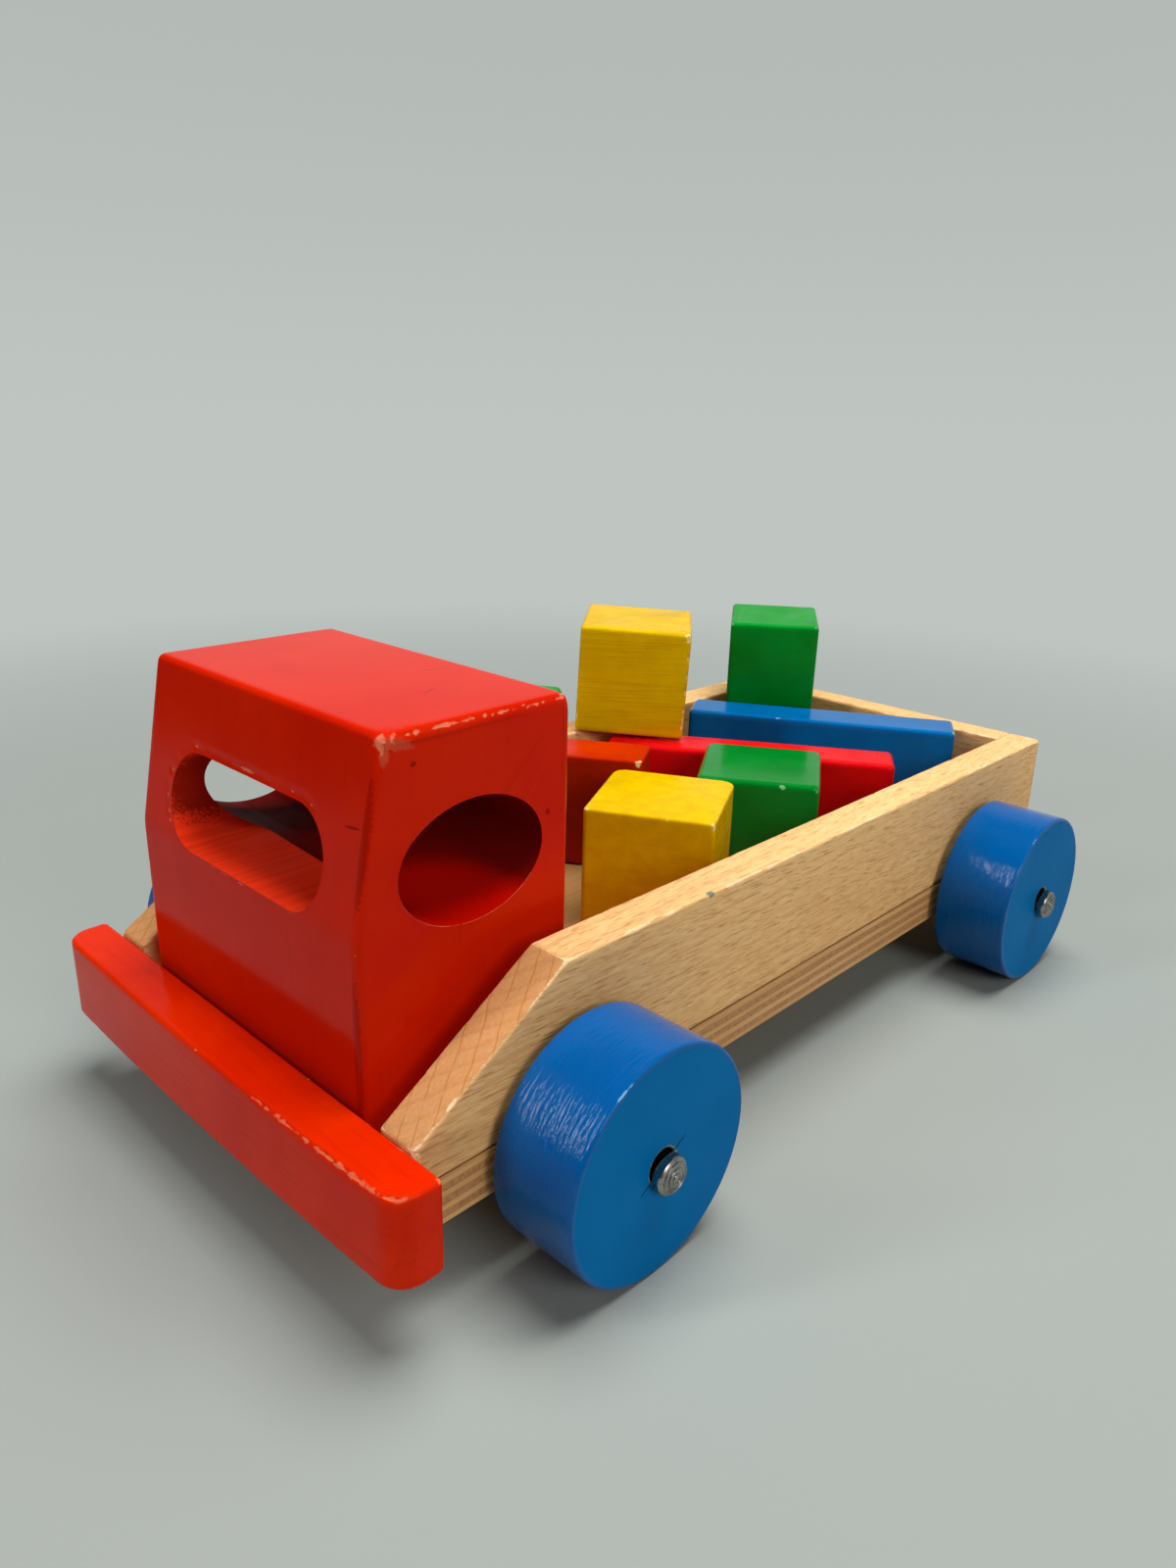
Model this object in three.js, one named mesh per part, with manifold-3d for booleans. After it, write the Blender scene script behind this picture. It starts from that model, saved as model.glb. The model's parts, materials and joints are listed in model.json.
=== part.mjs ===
// A wooden toy truck with a load of painted blocks in its bed.
// Millimetres. +X is forward, +Y the truck's left, +Z up. It stands on z = 0.

import * as THREE from 'three';
import { mergeVertices } from 'three/addons/utils/BufferGeometryUtils.js';
import { RoundedBoxGeometry } from 'three/addons/geometries/RoundedBoxGeometry.js';
import Module from 'manifold-3d';

const wasm = await Module();
wasm.setup();

// Clearances between neighbouring pieces
const glueLine = 0.1;
const restGap = 0.3;
const runningGap = 0.3;
const holeGap = 0.3;

// Wheels, axles and the domed caps that hold the wheels on
const wheelDiameter = 48.5;
const wheelThickness = 20;
const wheelBore = 7;
const wheelEdgeRadius = 1.2;
const wheelSides = 48;
const wheelToChassis = 2.4;
const axleDiameter = 4.5;
const axleInset = 39.5;
const axleBelowFloor = 4.25;
const capDiameter = 8;
const capSkirt = 2;
const capDome = 1;
const capToWheel = 0.5;
const roundSides = 24;

// Plywood base and the beech boards glued on it
const baseLength = 246;
const chassisWidth = 112;
const baseThickness = 10;
const sideThickness = 10;
const sideHeight = 31.5;
const slopeLength = 36;
const slopeFootHeight = 8.2;
const tailgateThickness = 9;
const boardEdge = 0.6;

// Cab block, standing between the side boards
const cabToSide = 6;
const cabHeight = 76.7;
const cabDepth = 50.8;
const cabToBumper = 1.1;
const screenSetback = 7;
const screenBendHeight = 41;
const cabCorner = 2.8;
const cabEdge = 1.8;
const sideWindowBackWall = 7.4;
const sideWindowFrontWall = 9.2;
const sideWindowSill = 36.9;
const sideWindowHeader = 15.4;
const screenPillar = 12;
const screenSill = 40;
const screenHeader = 16.4;

// Bumper
const bumperOverhang = 8.3;
const bumperHeight = 19;
const bumperDepth = 10;
const bumperBow = 1.2;
const bumperCorner = 5.5;
const bumperDrop = 1.1;
const bumperEdge = 0.9;

// Fasteners hidden under the truck and behind the bumper
const screwLength = 34;
const screwShank = 3.6;
const screwHead = 7.4;
const screwHeadHeight = 3;
const screwSpacing = 44;
const screwFromCabBack = 31;
const screwSlotWidth = 1.1;
const screwSlotDepth = 1.2;
const dowelDiameter = 6;
const dowelLength = 26;
const dowelInBumper = 6;
const dowelSpacing = 70;

// Blocks: the sizes they are sawn to
const cubeSide = 33.3;
const smallCubeSide = 29;
const uprightLength = 33.3;
const uprightThickness = 16.5;
const uprightHeight = 58;
const halfBlockThickness = 16.6;
const redBarLength = 86;
const redBarThickness = 15;
const redBarHeight = 30;
const blueBarLength = 83.6;
const blueBarThickness = 15.5;
const blueBarHeight = 33.8;
const blockEdge = 1.3;
const softBlockEdge = 2.4;

// Blocks: how they lie in the bed, turned seen from above
const yellowFrontTurn = THREE.MathUtils.degToRad(118.4);
const greenFrontTurn = THREE.MathUtils.degToRad(122.5);
const orangeTurn = THREE.MathUtils.degToRad(122);
const uprightTurn = THREE.MathUtils.degToRad(122);
const redBarTurn = THREE.MathUtils.degToRad(123);
const blueBarTurn = THREE.MathUtils.degToRad(120.2);
const topCubeTurn = THREE.MathUtils.degToRad(129.5);
const cornerCubeTurn = THREE.MathUtils.degToRad(126);
const cornerCubeTip = THREE.MathUtils.degToRad(3.5);
const blueBarToNearSide = 7.5;
const redBarToBlueBar = 11.9;
const redBarToFarSide = 2.6;
const orangeToRedBar = 9;
const greenToRedBar = 0.8;
const greenToNearSide = 8.6;
const yellowToGreen = 0.3;
const yellowToNearSide = 11;
const topCubeOverBar = 11.2;
const topCubeFromBarEnd = 4;
const cornerCubeInsetX = 12.5;
const cornerCubeInsetY = 13.1;
const uprightFreeShare = 0.26;
const uprightToFarSide = 2.3;

// Heights. The lowest flat of the many-sided rim lies on the ground, and the
// axle hangs low in the wheel's wider bore.
const wheelRadius = wheelDiameter / 2;
const wheelZ = wheelRadius * Math.cos(Math.PI / wheelSides);
const axleZ = wheelZ - (wheelBore - axleDiameter) / 2 + runningGap;
const floorZ = axleZ + axleBelowFloor;
const undersideZ = floorZ - baseThickness;
const seatZ = floorZ + glueLine;
const sideTopZ = seatZ + sideHeight;

// Positions along the truck
const truckLength = baseLength + glueLine + bumperDepth + bumperBow;
const tailX = -truckLength / 2;
const baseFrontX = tailX + baseLength;
const rearAxleX = tailX + axleInset;
const frontAxleX = baseFrontX - axleInset;
const bumperBackX = baseFrontX + glueLine;
const cabFrontX = baseFrontX - cabToBumper;
const cabBackX = cabFrontX - cabDepth;
const tailgateInnerX = tailX + tailgateThickness;
const sideWindowLength = cabDepth - sideWindowBackWall - sideWindowFrontWall;
const sideWindowX = cabBackX + sideWindowBackWall + sideWindowLength / 2;
const screwX = cabBackX + screwFromCabBack;

// Heights of the cab's openings
const sideWindowHeight = cabHeight - sideWindowSill - sideWindowHeader;
const sideWindowZ = seatZ + sideWindowSill + sideWindowHeight / 2;
const screenSlotHeight = cabHeight - screenSill - screenHeader;
const screenSlotZ = seatZ + screenSill + screenSlotHeight / 2;
const dowelZ = undersideZ + baseThickness / 2;

// Positions across the truck
const chassisHalf = chassisWidth / 2;
const bedHalf = chassisHalf - sideThickness;
const cabWidth = 2 * (bedHalf - cabToSide);
const screenSlotWidth = cabWidth - 2 * screenPillar;
const bumperLength = chassisWidth + 2 * bumperOverhang;
const wheelInnerY = chassisHalf + wheelToChassis;
const capInnerY = wheelInnerY + wheelThickness + capToWheel;

const paints = {
  beech: new THREE.MeshStandardMaterial({ color: 0xcfa878, roughness: 0.6 }),
  plywood: new THREE.MeshStandardMaterial({ color: 0xc59a66, roughness: 0.65 }),
  dowelWood: new THREE.MeshStandardMaterial({ color: 0xd8b98a, roughness: 0.7 }),
  cabRed: new THREE.MeshStandardMaterial({ color: 0xb01208, roughness: 0.35 }),
  bumperRed: new THREE.MeshStandardMaterial({ color: 0xd22408, roughness: 0.4 }),
  wheelBlue: new THREE.MeshStandardMaterial({ color: 0x0a5fa8, roughness: 0.4 }),
  steel: new THREE.MeshStandardMaterial({ color: 0xb9bcbe, roughness: 0.3, metalness: 1 }),
  yellow: new THREE.MeshStandardMaterial({ color: 0xebcd14, roughness: 0.45 }),
  green: new THREE.MeshStandardMaterial({ color: 0x1e9641, roughness: 0.45 }),
  orange: new THREE.MeshStandardMaterial({ color: 0xd73200, roughness: 0.45 }),
  crimson: new THREE.MeshStandardMaterial({ color: 0xe6000f, roughness: 0.45 }),
  barBlue: new THREE.MeshStandardMaterial({ color: 0x2d73b4, roughness: 0.45 }),
};

const truck = new THREE.Group();

function addPiece(name, geometry, paint) {
  const mesh = new THREE.Mesh(geometry, paint);
  mesh.name = name;
  truck.add(mesh);
  return mesh;
}

function toSolid(geometry) {
  const plain = new THREE.BufferGeometry();
  plain.setAttribute('position', geometry.getAttribute('position').clone());
  if (geometry.index) {
    plain.setIndex(geometry.index.clone());
  }
  const merged = mergeVertices(plain, 1e-4);
  return new wasm.Manifold(new wasm.Mesh({
    numProp: 3,
    vertProperties: new Float32Array(merged.getAttribute('position').array),
    triVerts: new Uint32Array(merged.index.array),
  }));
}

function toGeometry(solid) {
  const mesh = solid.getMesh();
  const geometry = new THREE.BufferGeometry();
  geometry.setAttribute('position', new THREE.BufferAttribute(mesh.vertProperties.slice(), 3));
  geometry.setIndex(new THREE.BufferAttribute(mesh.triVerts.slice(), 1));
  geometry.computeVertexNormals();
  return geometry;
}

function cutAway(geometry, cutters) {
  let solid = toSolid(geometry);
  for (const cutter of cutters) {
    solid = solid.subtract(toSolid(cutter));
  }
  return toGeometry(solid);
}

// A slab of the given thickness, centred on its own mid-plane, with eased edges.
function easedSlab(shape, thickness, edge) {
  const slab = new THREE.ExtrudeGeometry(shape, {
    depth: thickness - 2 * edge,
    bevelThickness: edge,
    bevelSize: edge,
    bevelOffset: -edge,
    bevelSegments: 2,
    curveSegments: 10,
  });
  return slab.translate(0, 0, edge - thickness / 2);
}

// Turns a slab drawn in side view so that it stands across the truck.
function standUp(slab) {
  return slab.rotateX(Math.PI / 2);
}

function outlineWithCorners(corners) {
  const outline = new THREE.Shape();
  corners.forEach((corner, i) => {
    const before = corners[(i + corners.length - 1) % corners.length].at;
    const after = corners[(i + 1) % corners.length].at;
    const start = corner.at.clone().add(before.clone().sub(corner.at).setLength(corner.radius));
    const end = corner.at.clone().add(after.clone().sub(corner.at).setLength(corner.radius));
    if (i === 0) {
      outline.moveTo(start.x, start.y);
    } else {
      outline.lineTo(start.x, start.y);
    }
    outline.quadraticCurveTo(corner.at.x, corner.at.y, end.x, end.y);
  });
  outline.closePath();
  return outline;
}

// A pin lying along X, Y or Z, centred at the given point.
function pin(axis, diameter, length, x, y, z) {
  const geometry = new THREE.CylinderGeometry(diameter / 2, diameter / 2, length, roundSides);
  if (axis === 'x') {
    geometry.rotateZ(-Math.PI / 2);
  }
  if (axis === 'z') {
    geometry.rotateX(Math.PI / 2);
  }
  return geometry.translate(x, y, z);
}

// A countersunk screw pointing up, widened all round by the margin.
function screwBody(margin, headSink, length) {
  const head = screwHead / 2 + margin;
  const shank = screwShank / 2 + margin;
  const profile = [
    new THREE.Vector2(0, -headSink),
    new THREE.Vector2(head, -headSink),
    new THREE.Vector2(head, 0.4),
    new THREE.Vector2(shank, screwHeadHeight),
    new THREE.Vector2(shank, length - shank),
    new THREE.Vector2(0, length),
  ];
  return new THREE.LatheGeometry(profile, roundSides).rotateX(Math.PI / 2);
}

function screwPlaces() {
  return [1, -1].map((side) => new THREE.Vector3(screwX, side * screwSpacing / 2, undersideZ + restGap));
}

function screwHoles() {
  return screwPlaces().map((place) => screwBody(holeGap, 2, screwLength + holeGap)
    .translate(place.x, place.y, place.z));
}

function dowelHoles() {
  const middleX = bumperBackX + dowelInBumper - dowelLength / 2;
  return [1, -1].map((side) => pin('x', dowelDiameter + 2 * holeGap, dowelLength + 2 * holeGap,
    middleX, side * dowelSpacing / 2, dowelZ));
}

function buildBase() {
  const board = new THREE.BoxGeometry(baseLength, chassisWidth, baseThickness);
  board.translate(tailX + baseLength / 2, 0, floorZ - baseThickness / 2);
  const bores = [rearAxleX, frontAxleX].map((x) => pin('y', axleDiameter + 2 * holeGap,
    chassisWidth + 2, x, 0, axleZ));
  addPiece('base_board', cutAway(board, [...bores, ...screwHoles(), ...dowelHoles()]), paints.plywood);
}

function buildSideBoards() {
  for (const [name, side] of [['side_board_left', 1], ['side_board_right', -1]]) {
    const outline = new THREE.Shape();
    outline.moveTo(tailX, seatZ);
    outline.lineTo(baseFrontX, seatZ);
    outline.lineTo(baseFrontX, seatZ + slopeFootHeight);
    outline.lineTo(baseFrontX - slopeLength, sideTopZ);
    outline.lineTo(tailX, sideTopZ);
    outline.closePath();
    const board = standUp(easedSlab(outline, sideThickness, boardEdge));
    addPiece(name, board.translate(0, side * (bedHalf + sideThickness / 2), 0), paints.beech);
  }
}

function buildTailgate() {
  const width = 2 * (bedHalf - glueLine);
  const board = new RoundedBoxGeometry(tailgateThickness, width, sideHeight, 1, boardEdge);
  board.translate(tailX + tailgateThickness / 2, 0, seatZ + sideHeight / 2);
  addPiece('tailgate', board, paints.beech);
}

function cabOutline() {
  const roofZ = seatZ + cabHeight;
  const corners = [
    { at: new THREE.Vector2(cabBackX, seatZ), radius: cabCorner },
    { at: new THREE.Vector2(cabFrontX, seatZ), radius: cabCorner },
    { at: new THREE.Vector2(cabFrontX, seatZ + screenBendHeight), radius: cabCorner },
    { at: new THREE.Vector2(cabFrontX - screenSetback, roofZ), radius: cabCorner },
    { at: new THREE.Vector2(cabBackX, roofZ), radius: cabCorner },
  ];
  const outline = outlineWithCorners(corners);
  const sideWindow = new THREE.Path();
  sideWindow.absellipse(sideWindowX, sideWindowZ, sideWindowLength / 2, sideWindowHeight / 2,
    0, 2 * Math.PI, true);
  outline.holes.push(sideWindow);
  return outline;
}

// The windscreen is a round-ended slot milled back into the side windows' tunnel.
function screenSlot() {
  const radius = screenSlotHeight / 2;
  const straight = screenSlotWidth / 2 - radius;
  const outline = new THREE.Shape();
  outline.absarc(straight, 0, radius, -Math.PI / 2, Math.PI / 2, false);
  outline.absarc(-straight, 0, radius, Math.PI / 2, 1.5 * Math.PI, false);
  outline.closePath();
  const slot = new THREE.ExtrudeGeometry(outline, {
    depth: bumperBackX - sideWindowX, bevelEnabled: false, curveSegments: 14,
  });
  const turn = new THREE.Matrix4().makeBasis(
    new THREE.Vector3(0, 1, 0), new THREE.Vector3(0, 0, 1), new THREE.Vector3(1, 0, 0));
  return slot.applyMatrix4(turn).translate(sideWindowX, 0, screenSlotZ);
}

function buildCab() {
  const block = standUp(easedSlab(cabOutline(), cabWidth, cabEdge));
  addPiece('cab_block', cutAway(block, [screenSlot(), ...screwHoles()]), paints.cabRed);
}

function buildBumper() {
  const half = bumperLength / 2;
  const frontX = bumperBackX + bumperDepth;
  const plan = new THREE.Shape();
  plan.moveTo(bumperBackX, -half);
  plan.lineTo(frontX - bumperCorner, -half);
  plan.quadraticCurveTo(frontX, -half, frontX, bumperCorner - half);
  plan.quadraticCurveTo(frontX + 2 * bumperBow, 0, frontX, half - bumperCorner);
  plan.quadraticCurveTo(frontX, half, frontX - bumperCorner, half);
  plan.lineTo(bumperBackX, half);
  plan.closePath();
  const bar = easedSlab(plan, bumperHeight, bumperEdge);
  bar.translate(0, 0, undersideZ - bumperDrop + bumperHeight / 2);
  addPiece('bumper', cutAway(bar, dowelHoles()), paints.bumperRed);
}

function wheelProfile() {
  const bore = wheelBore / 2;
  const points = [new THREE.Vector2(bore, 0)];
  for (let step = 0; step <= 3; step += 1) {
    const angle = step * Math.PI / 6;
    points.push(new THREE.Vector2(wheelRadius - wheelEdgeRadius * (1 - Math.sin(angle)),
      wheelEdgeRadius * (1 - Math.cos(angle))));
  }
  for (let step = 3; step >= 0; step -= 1) {
    const angle = step * Math.PI / 6;
    points.push(new THREE.Vector2(wheelRadius - wheelEdgeRadius * (1 - Math.sin(angle)),
      wheelThickness - wheelEdgeRadius * (1 - Math.cos(angle))));
  }
  points.push(new THREE.Vector2(bore, wheelThickness));
  points.push(new THREE.Vector2(bore, 0));
  return points;
}

function capProfile() {
  const bore = axleDiameter / 2 + holeGap;
  const radius = capDiameter / 2;
  const points = [
    new THREE.Vector2(0, capSkirt - holeGap),
    new THREE.Vector2(bore, capSkirt - holeGap),
    new THREE.Vector2(bore, 0),
    new THREE.Vector2(radius, 0),
  ];
  for (let step = 0; step <= 4; step += 1) {
    const angle = step * Math.PI / 8;
    points.push(new THREE.Vector2(radius * Math.cos(angle), capSkirt + capDome * Math.sin(angle)));
  }
  points[points.length - 1].x = 0;
  return points;
}

function buildWheelSets() {
  const ends = [['left', 1], ['right', -1]];
  for (const [place, x] of [['front', frontAxleX], ['rear', rearAxleX]]) {
    const axleHalf = capInnerY + capSkirt - 2 * holeGap;
    addPiece(`${place}_axle`, pin('y', axleDiameter, 2 * axleHalf, x, 0, axleZ), paints.steel);
    for (const [end, side] of ends) {
      const wheel = new THREE.LatheGeometry(wheelProfile(), wheelSides, Math.PI / wheelSides);
      const cap = new THREE.LatheGeometry(capProfile(), roundSides);
      if (side < 0) {
        wheel.rotateX(Math.PI);
        cap.rotateX(Math.PI);
      }
      addPiece(`${place}_wheel_${end}`, wheel.translate(x, side * wheelInnerY, wheelZ), paints.wheelBlue);
      addPiece(`${place}_cap_${end}`, cap.translate(x, side * capInnerY, axleZ), paints.steel);
    }
  }
}

function buildFasteners() {
  const names = ['cab_screw_left', 'cab_screw_right'];
  screwPlaces().forEach((place, i) => {
    const slot = new THREE.BoxGeometry(screwHead + 2, screwSlotWidth, 2 * screwSlotDepth);
    const screw = cutAway(screwBody(0, 0, screwLength), [slot]);
    addPiece(names[i], screw.translate(place.x, place.y, place.z), paints.steel);
  });
  const middleX = bumperBackX + dowelInBumper - dowelLength / 2;
  for (const [name, side] of [['bumper_dowel_left', 1], ['bumper_dowel_right', -1]]) {
    const dowel = pin('x', dowelDiameter, dowelLength, middleX, side * dowelSpacing / 2, dowelZ);
    addPiece(name, dowel, paints.dowelWood);
  }
}

// Half of what a turned block takes up along a direction on the bed floor.
function halfReach(block, direction) {
  const turn = block.turn - direction;
  return (block.length * Math.abs(Math.cos(turn)) + block.thickness * Math.abs(Math.sin(turn))) / 2;
}

const alongTruck = 0;
const acrossTruck = Math.PI / 2;

function headingOf(turn) {
  return new THREE.Vector2(Math.cos(turn), Math.sin(turn));
}

function nearSideY(block, gap) {
  return bedHalf - gap - halfReach(block, acrossTruck);
}

function farSideY(block, gap) {
  return gap + halfReach(block, acrossTruck) - bedHalf;
}

// The place at y across the bed where a block's back face clears the one behind it.
function placeInFront(block, y, behind, gap) {
  const backTurn = block.turn + Math.PI / 2;
  const back = headingOf(backTurn);
  const apart = halfReach(block, backTurn) + halfReach(behind, backTurn) + gap;
  const x = (behind.at.dot(back) - apart - y * back.y) / back.x;
  return new THREE.Vector2(x, y);
}

function addBlock(block) {
  const edge = block.edge ?? blockEdge;
  const geometry = new RoundedBoxGeometry(block.length, block.thickness, block.height, 2, edge);
  const mesh = addPiece(block.name, geometry, block.paint);
  mesh.position.set(block.at.x, block.at.y, floorZ + restGap + block.height / 2);
  mesh.rotation.z = block.turn;
  return mesh;
}

function buildBedBlocks() {
  const blueBar = {
    name: 'blue_bar', paint: paints.barBlue, turn: blueBarTurn,
    length: blueBarLength, thickness: blueBarThickness, height: blueBarHeight,
  };
  blueBar.at = new THREE.Vector2(tailgateInnerX + restGap + halfReach(blueBar, alongTruck),
    nearSideY(blueBar, blueBarToNearSide));

  const redBar = {
    name: 'red_bar', paint: paints.crimson, turn: redBarTurn,
    length: redBarLength, thickness: redBarThickness, height: redBarHeight,
  };
  redBar.at = placeInFront(redBar, farSideY(redBar, redBarToFarSide), blueBar, redBarToBlueBar);

  const orangeBlock = {
    name: 'orange_half_block', paint: paints.orange, turn: orangeTurn,
    length: cubeSide, thickness: halfBlockThickness, height: cubeSide,
  };
  orangeBlock.at = placeInFront(orangeBlock, farSideY(orangeBlock, restGap), redBar, orangeToRedBar);

  const greenCube = {
    name: 'green_cube_front', paint: paints.green, turn: greenFrontTurn, edge: softBlockEdge,
    length: cubeSide, thickness: cubeSide, height: cubeSide,
  };
  greenCube.at = placeInFront(greenCube, nearSideY(greenCube, greenToNearSide), redBar, greenToRedBar);

  const yellowCube = {
    name: 'yellow_cube_front', paint: paints.yellow, turn: yellowFrontTurn,
    length: cubeSide, thickness: cubeSide, height: cubeSide,
  };
  yellowCube.at = placeInFront(yellowCube, nearSideY(yellowCube, yellowToNearSide),
    greenCube, yellowToGreen);

  const upright = {
    name: 'green_upright_block', paint: paints.green, turn: uprightTurn,
    length: uprightLength, thickness: uprightThickness, height: uprightHeight,
  };
  const orangeFrontX = orangeBlock.at.x + halfReach(orangeBlock, alongTruck);
  const freeLength = cabBackX - orangeFrontX - 2 * halfReach(upright, alongTruck);
  upright.at = new THREE.Vector2(
    orangeFrontX + uprightFreeShare * freeLength + halfReach(upright, alongTruck),
    farSideY(upright, uprightToFarSide));

  [blueBar, redBar, orangeBlock, greenCube, yellowCube, upright].forEach(addBlock);
  return redBar;
}

// The upper yellow cube bridges the red bar and the far side board, and leans
// towards the lower of the two.
function buildTopCube(redBar) {
  const cube = {
    name: 'yellow_cube_top', paint: paints.yellow, turn: topCubeTurn,
    length: cubeSide, thickness: cubeSide, height: cubeSide,
  };
  const backTurn = redBar.turn + Math.PI / 2;
  const alongBar = topCubeFromBarEnd - redBar.length / 2;
  const behindBar = redBar.thickness / 2 - topCubeOverBar + halfReach(cube, backTurn);
  cube.at = redBar.at.clone()
    .addScaledVector(headingOf(redBar.turn), alongBar)
    .addScaledVector(headingOf(backTurn), behindBar);
  const barTop = floorZ + restGap + redBar.height;
  const restTop = Math.max(sideTopZ, barTop);
  const span = cube.at.y + halfReach(cube, acrossTruck) + bedHalf;
  const lean = Math.atan2(restTop - barTop, span);
  const footZ = restTop + restGap - Math.tan(lean) * (cube.at.y + bedHalf);
  const mesh = addBlock(cube);
  mesh.position.y += Math.sin(lean) * cubeSide / 2;
  mesh.position.z = footZ + Math.cos(lean) * cubeSide / 2;
  mesh.rotation.set(-lean, 0, cube.turn);
}

// The small green cube straddles the corner of the tailgate and the far side
// board, tipped forward into the bed.
function buildCornerCube() {
  const half = smallCubeSide / 2;
  const cube = {
    name: 'green_cube_corner', paint: paints.green, turn: cornerCubeTurn,
    length: smallCubeSide, thickness: smallCubeSide, height: smallCubeSide,
  };
  cube.at = new THREE.Vector2(tailgateInnerX + cornerCubeInsetX, cornerCubeInsetY - bedHalf);
  const sideways = headingOf(cube.turn);
  const back = headingOf(cube.turn + Math.PI / 2);
  const frontFar = cube.at.clone().addScaledVector(sideways, -half).addScaledVector(back, -half);
  const frontNear = cube.at.clone().addScaledVector(sideways, half).addScaledVector(back, -half);
  const overSide = (frontFar.y + bedHalf) / -back.y;
  const overTail = (frontNear.x - tailgateInnerX) / -back.x;
  const firstRest = Math.min(overSide, overTail);
  const footZ = sideTopZ + restGap + Math.tan(cornerCubeTip) * (half - firstRest);
  const mesh = addBlock(cube);
  mesh.position.x -= back.x * Math.sin(cornerCubeTip) * half;
  mesh.position.y -= back.y * Math.sin(cornerCubeTip) * half;
  mesh.position.z = footZ + Math.cos(cornerCubeTip) * half;
  mesh.rotation.set(cornerCubeTip, 0, cube.turn, 'ZYX');
}

buildBase();
buildSideBoards();
buildTailgate();
buildCab();
buildBumper();
buildWheelSets();
buildFasteners();
buildTopCube(buildBedBlocks());
buildCornerCube();

export default truck;
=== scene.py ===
import json
import math

import bmesh
import bpy
import numpy as np
from mathutils import Matrix, Vector, noise


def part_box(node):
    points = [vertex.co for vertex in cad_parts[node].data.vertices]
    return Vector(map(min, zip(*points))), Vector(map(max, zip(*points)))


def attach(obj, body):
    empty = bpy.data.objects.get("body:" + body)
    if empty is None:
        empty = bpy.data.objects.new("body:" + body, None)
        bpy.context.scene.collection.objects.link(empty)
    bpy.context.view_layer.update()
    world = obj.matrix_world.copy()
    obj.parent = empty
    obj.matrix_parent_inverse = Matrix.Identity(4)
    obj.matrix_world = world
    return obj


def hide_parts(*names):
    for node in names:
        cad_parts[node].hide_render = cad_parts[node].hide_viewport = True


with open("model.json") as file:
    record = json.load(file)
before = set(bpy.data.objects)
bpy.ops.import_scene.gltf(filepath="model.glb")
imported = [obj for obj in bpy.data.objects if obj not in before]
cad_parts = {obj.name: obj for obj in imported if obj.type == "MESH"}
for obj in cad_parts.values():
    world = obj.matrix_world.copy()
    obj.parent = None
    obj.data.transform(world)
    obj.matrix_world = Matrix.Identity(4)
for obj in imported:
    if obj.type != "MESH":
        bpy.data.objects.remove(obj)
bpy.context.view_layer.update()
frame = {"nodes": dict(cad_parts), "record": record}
mm = 0.001
sameSpot = 1e-6  # points closer than this, in metres, are one point
print("frame loaded", len(frame["nodes"]), "nodes")

scene = bpy.context.scene
scene.view_settings.view_transform = "Standard"


def millimetres(*values):
    return tuple(v * mm for v in values)


def fromScreen(r, g, b):
    # 0 to 255 screen colour to the linear values that the shader sockets take
    def channel(v):
        v /= 255
        return v / 12.92 if v <= 0.04045 else ((v + 0.055) / 1.055) ** 2.4
    return (channel(r), channel(g), channel(b), 1.0)


# Node helpers
def feed(tree, node, sockets):
    for key, value in sockets.items():
        if isinstance(value, bpy.types.NodeSocket):
            tree.links.new(value, node.inputs[key])
        else:
            node.inputs[key].default_value = value


def addNode(tree, kind, sockets=None, **options):
    made = tree.nodes.new(kind)
    for key, value in options.items():
        setattr(made, key, value)
    feed(tree, made, sockets or {})
    return made


def mixColour(tree, factor, first, second):
    mixed = addNode(tree, "ShaderNodeMix", {0: factor, 6: first, 7: second}, data_type="RGBA")
    return mixed.outputs[2]


def mathNode(tree, operation, first, second=None):
    sockets = {0: first} if second is None else {0: first, 1: second}
    return addNode(tree, "ShaderNodeMath", sockets, operation=operation).outputs[0]


def plus(tree, first, second):
    return mathNode(tree, "ADD", first, second)


def minus(tree, first, second):
    return mathNode(tree, "SUBTRACT", first, second)


def times(tree, first, second):
    return mathNode(tree, "MULTIPLY", first, second)


def offMiddle(tree, value):
    # a noise value as a step up or down from its middle
    return minus(tree, value, 0.5)


def alongHeading(tree, vector, heading):
    dotted = addNode(tree, "ShaderNodeVectorMath", {0: vector, 1: heading}, operation="DOT_PRODUCT")
    return dotted.outputs["Value"]


def lengthOf(tree, vector):
    return addNode(tree, "ShaderNodeVectorMath", {0: vector}, operation="LENGTH").outputs["Value"]


def axesOf(tree, vector):
    return addNode(tree, "ShaderNodeSeparateXYZ", {0: vector}).outputs


def fadeBetween(tree, value, low, high, outLow=0.0, outHigh=1.0):
    faded = addNode(tree, "ShaderNodeMapRange", {"Value": value, "From Min": low, "From Max": high,
                                                 "To Min": outLow, "To Max": outHigh},
                    interpolation_type="SMOOTHSTEP")
    return faded.outputs[0]


def noiseAt(tree, vector, scale, detail=2.0, rough=0.5):
    made = addNode(tree, "ShaderNodeTexNoise", {"Vector": vector, "Scale": scale, "Detail": detail,
                                                "Roughness": rough})
    return made.outputs[0]


def stretched(tree, vector, scale, turn=(0, 0, 0)):
    # turned into the piece's own directions first, then stretched along them
    turned = addNode(tree, "ShaderNodeMapping", {"Vector": vector, "Rotation": turn}).outputs[0]
    return addNode(tree, "ShaderNodeMapping", {"Vector": turned, "Scale": scale}).outputs[0]


def bumpFrom(tree, height, strength, distance):
    bump = addNode(tree, "ShaderNodeBump", {"Height": height, "Strength": strength, "Distance": distance})
    return bump.outputs[0]


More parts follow.
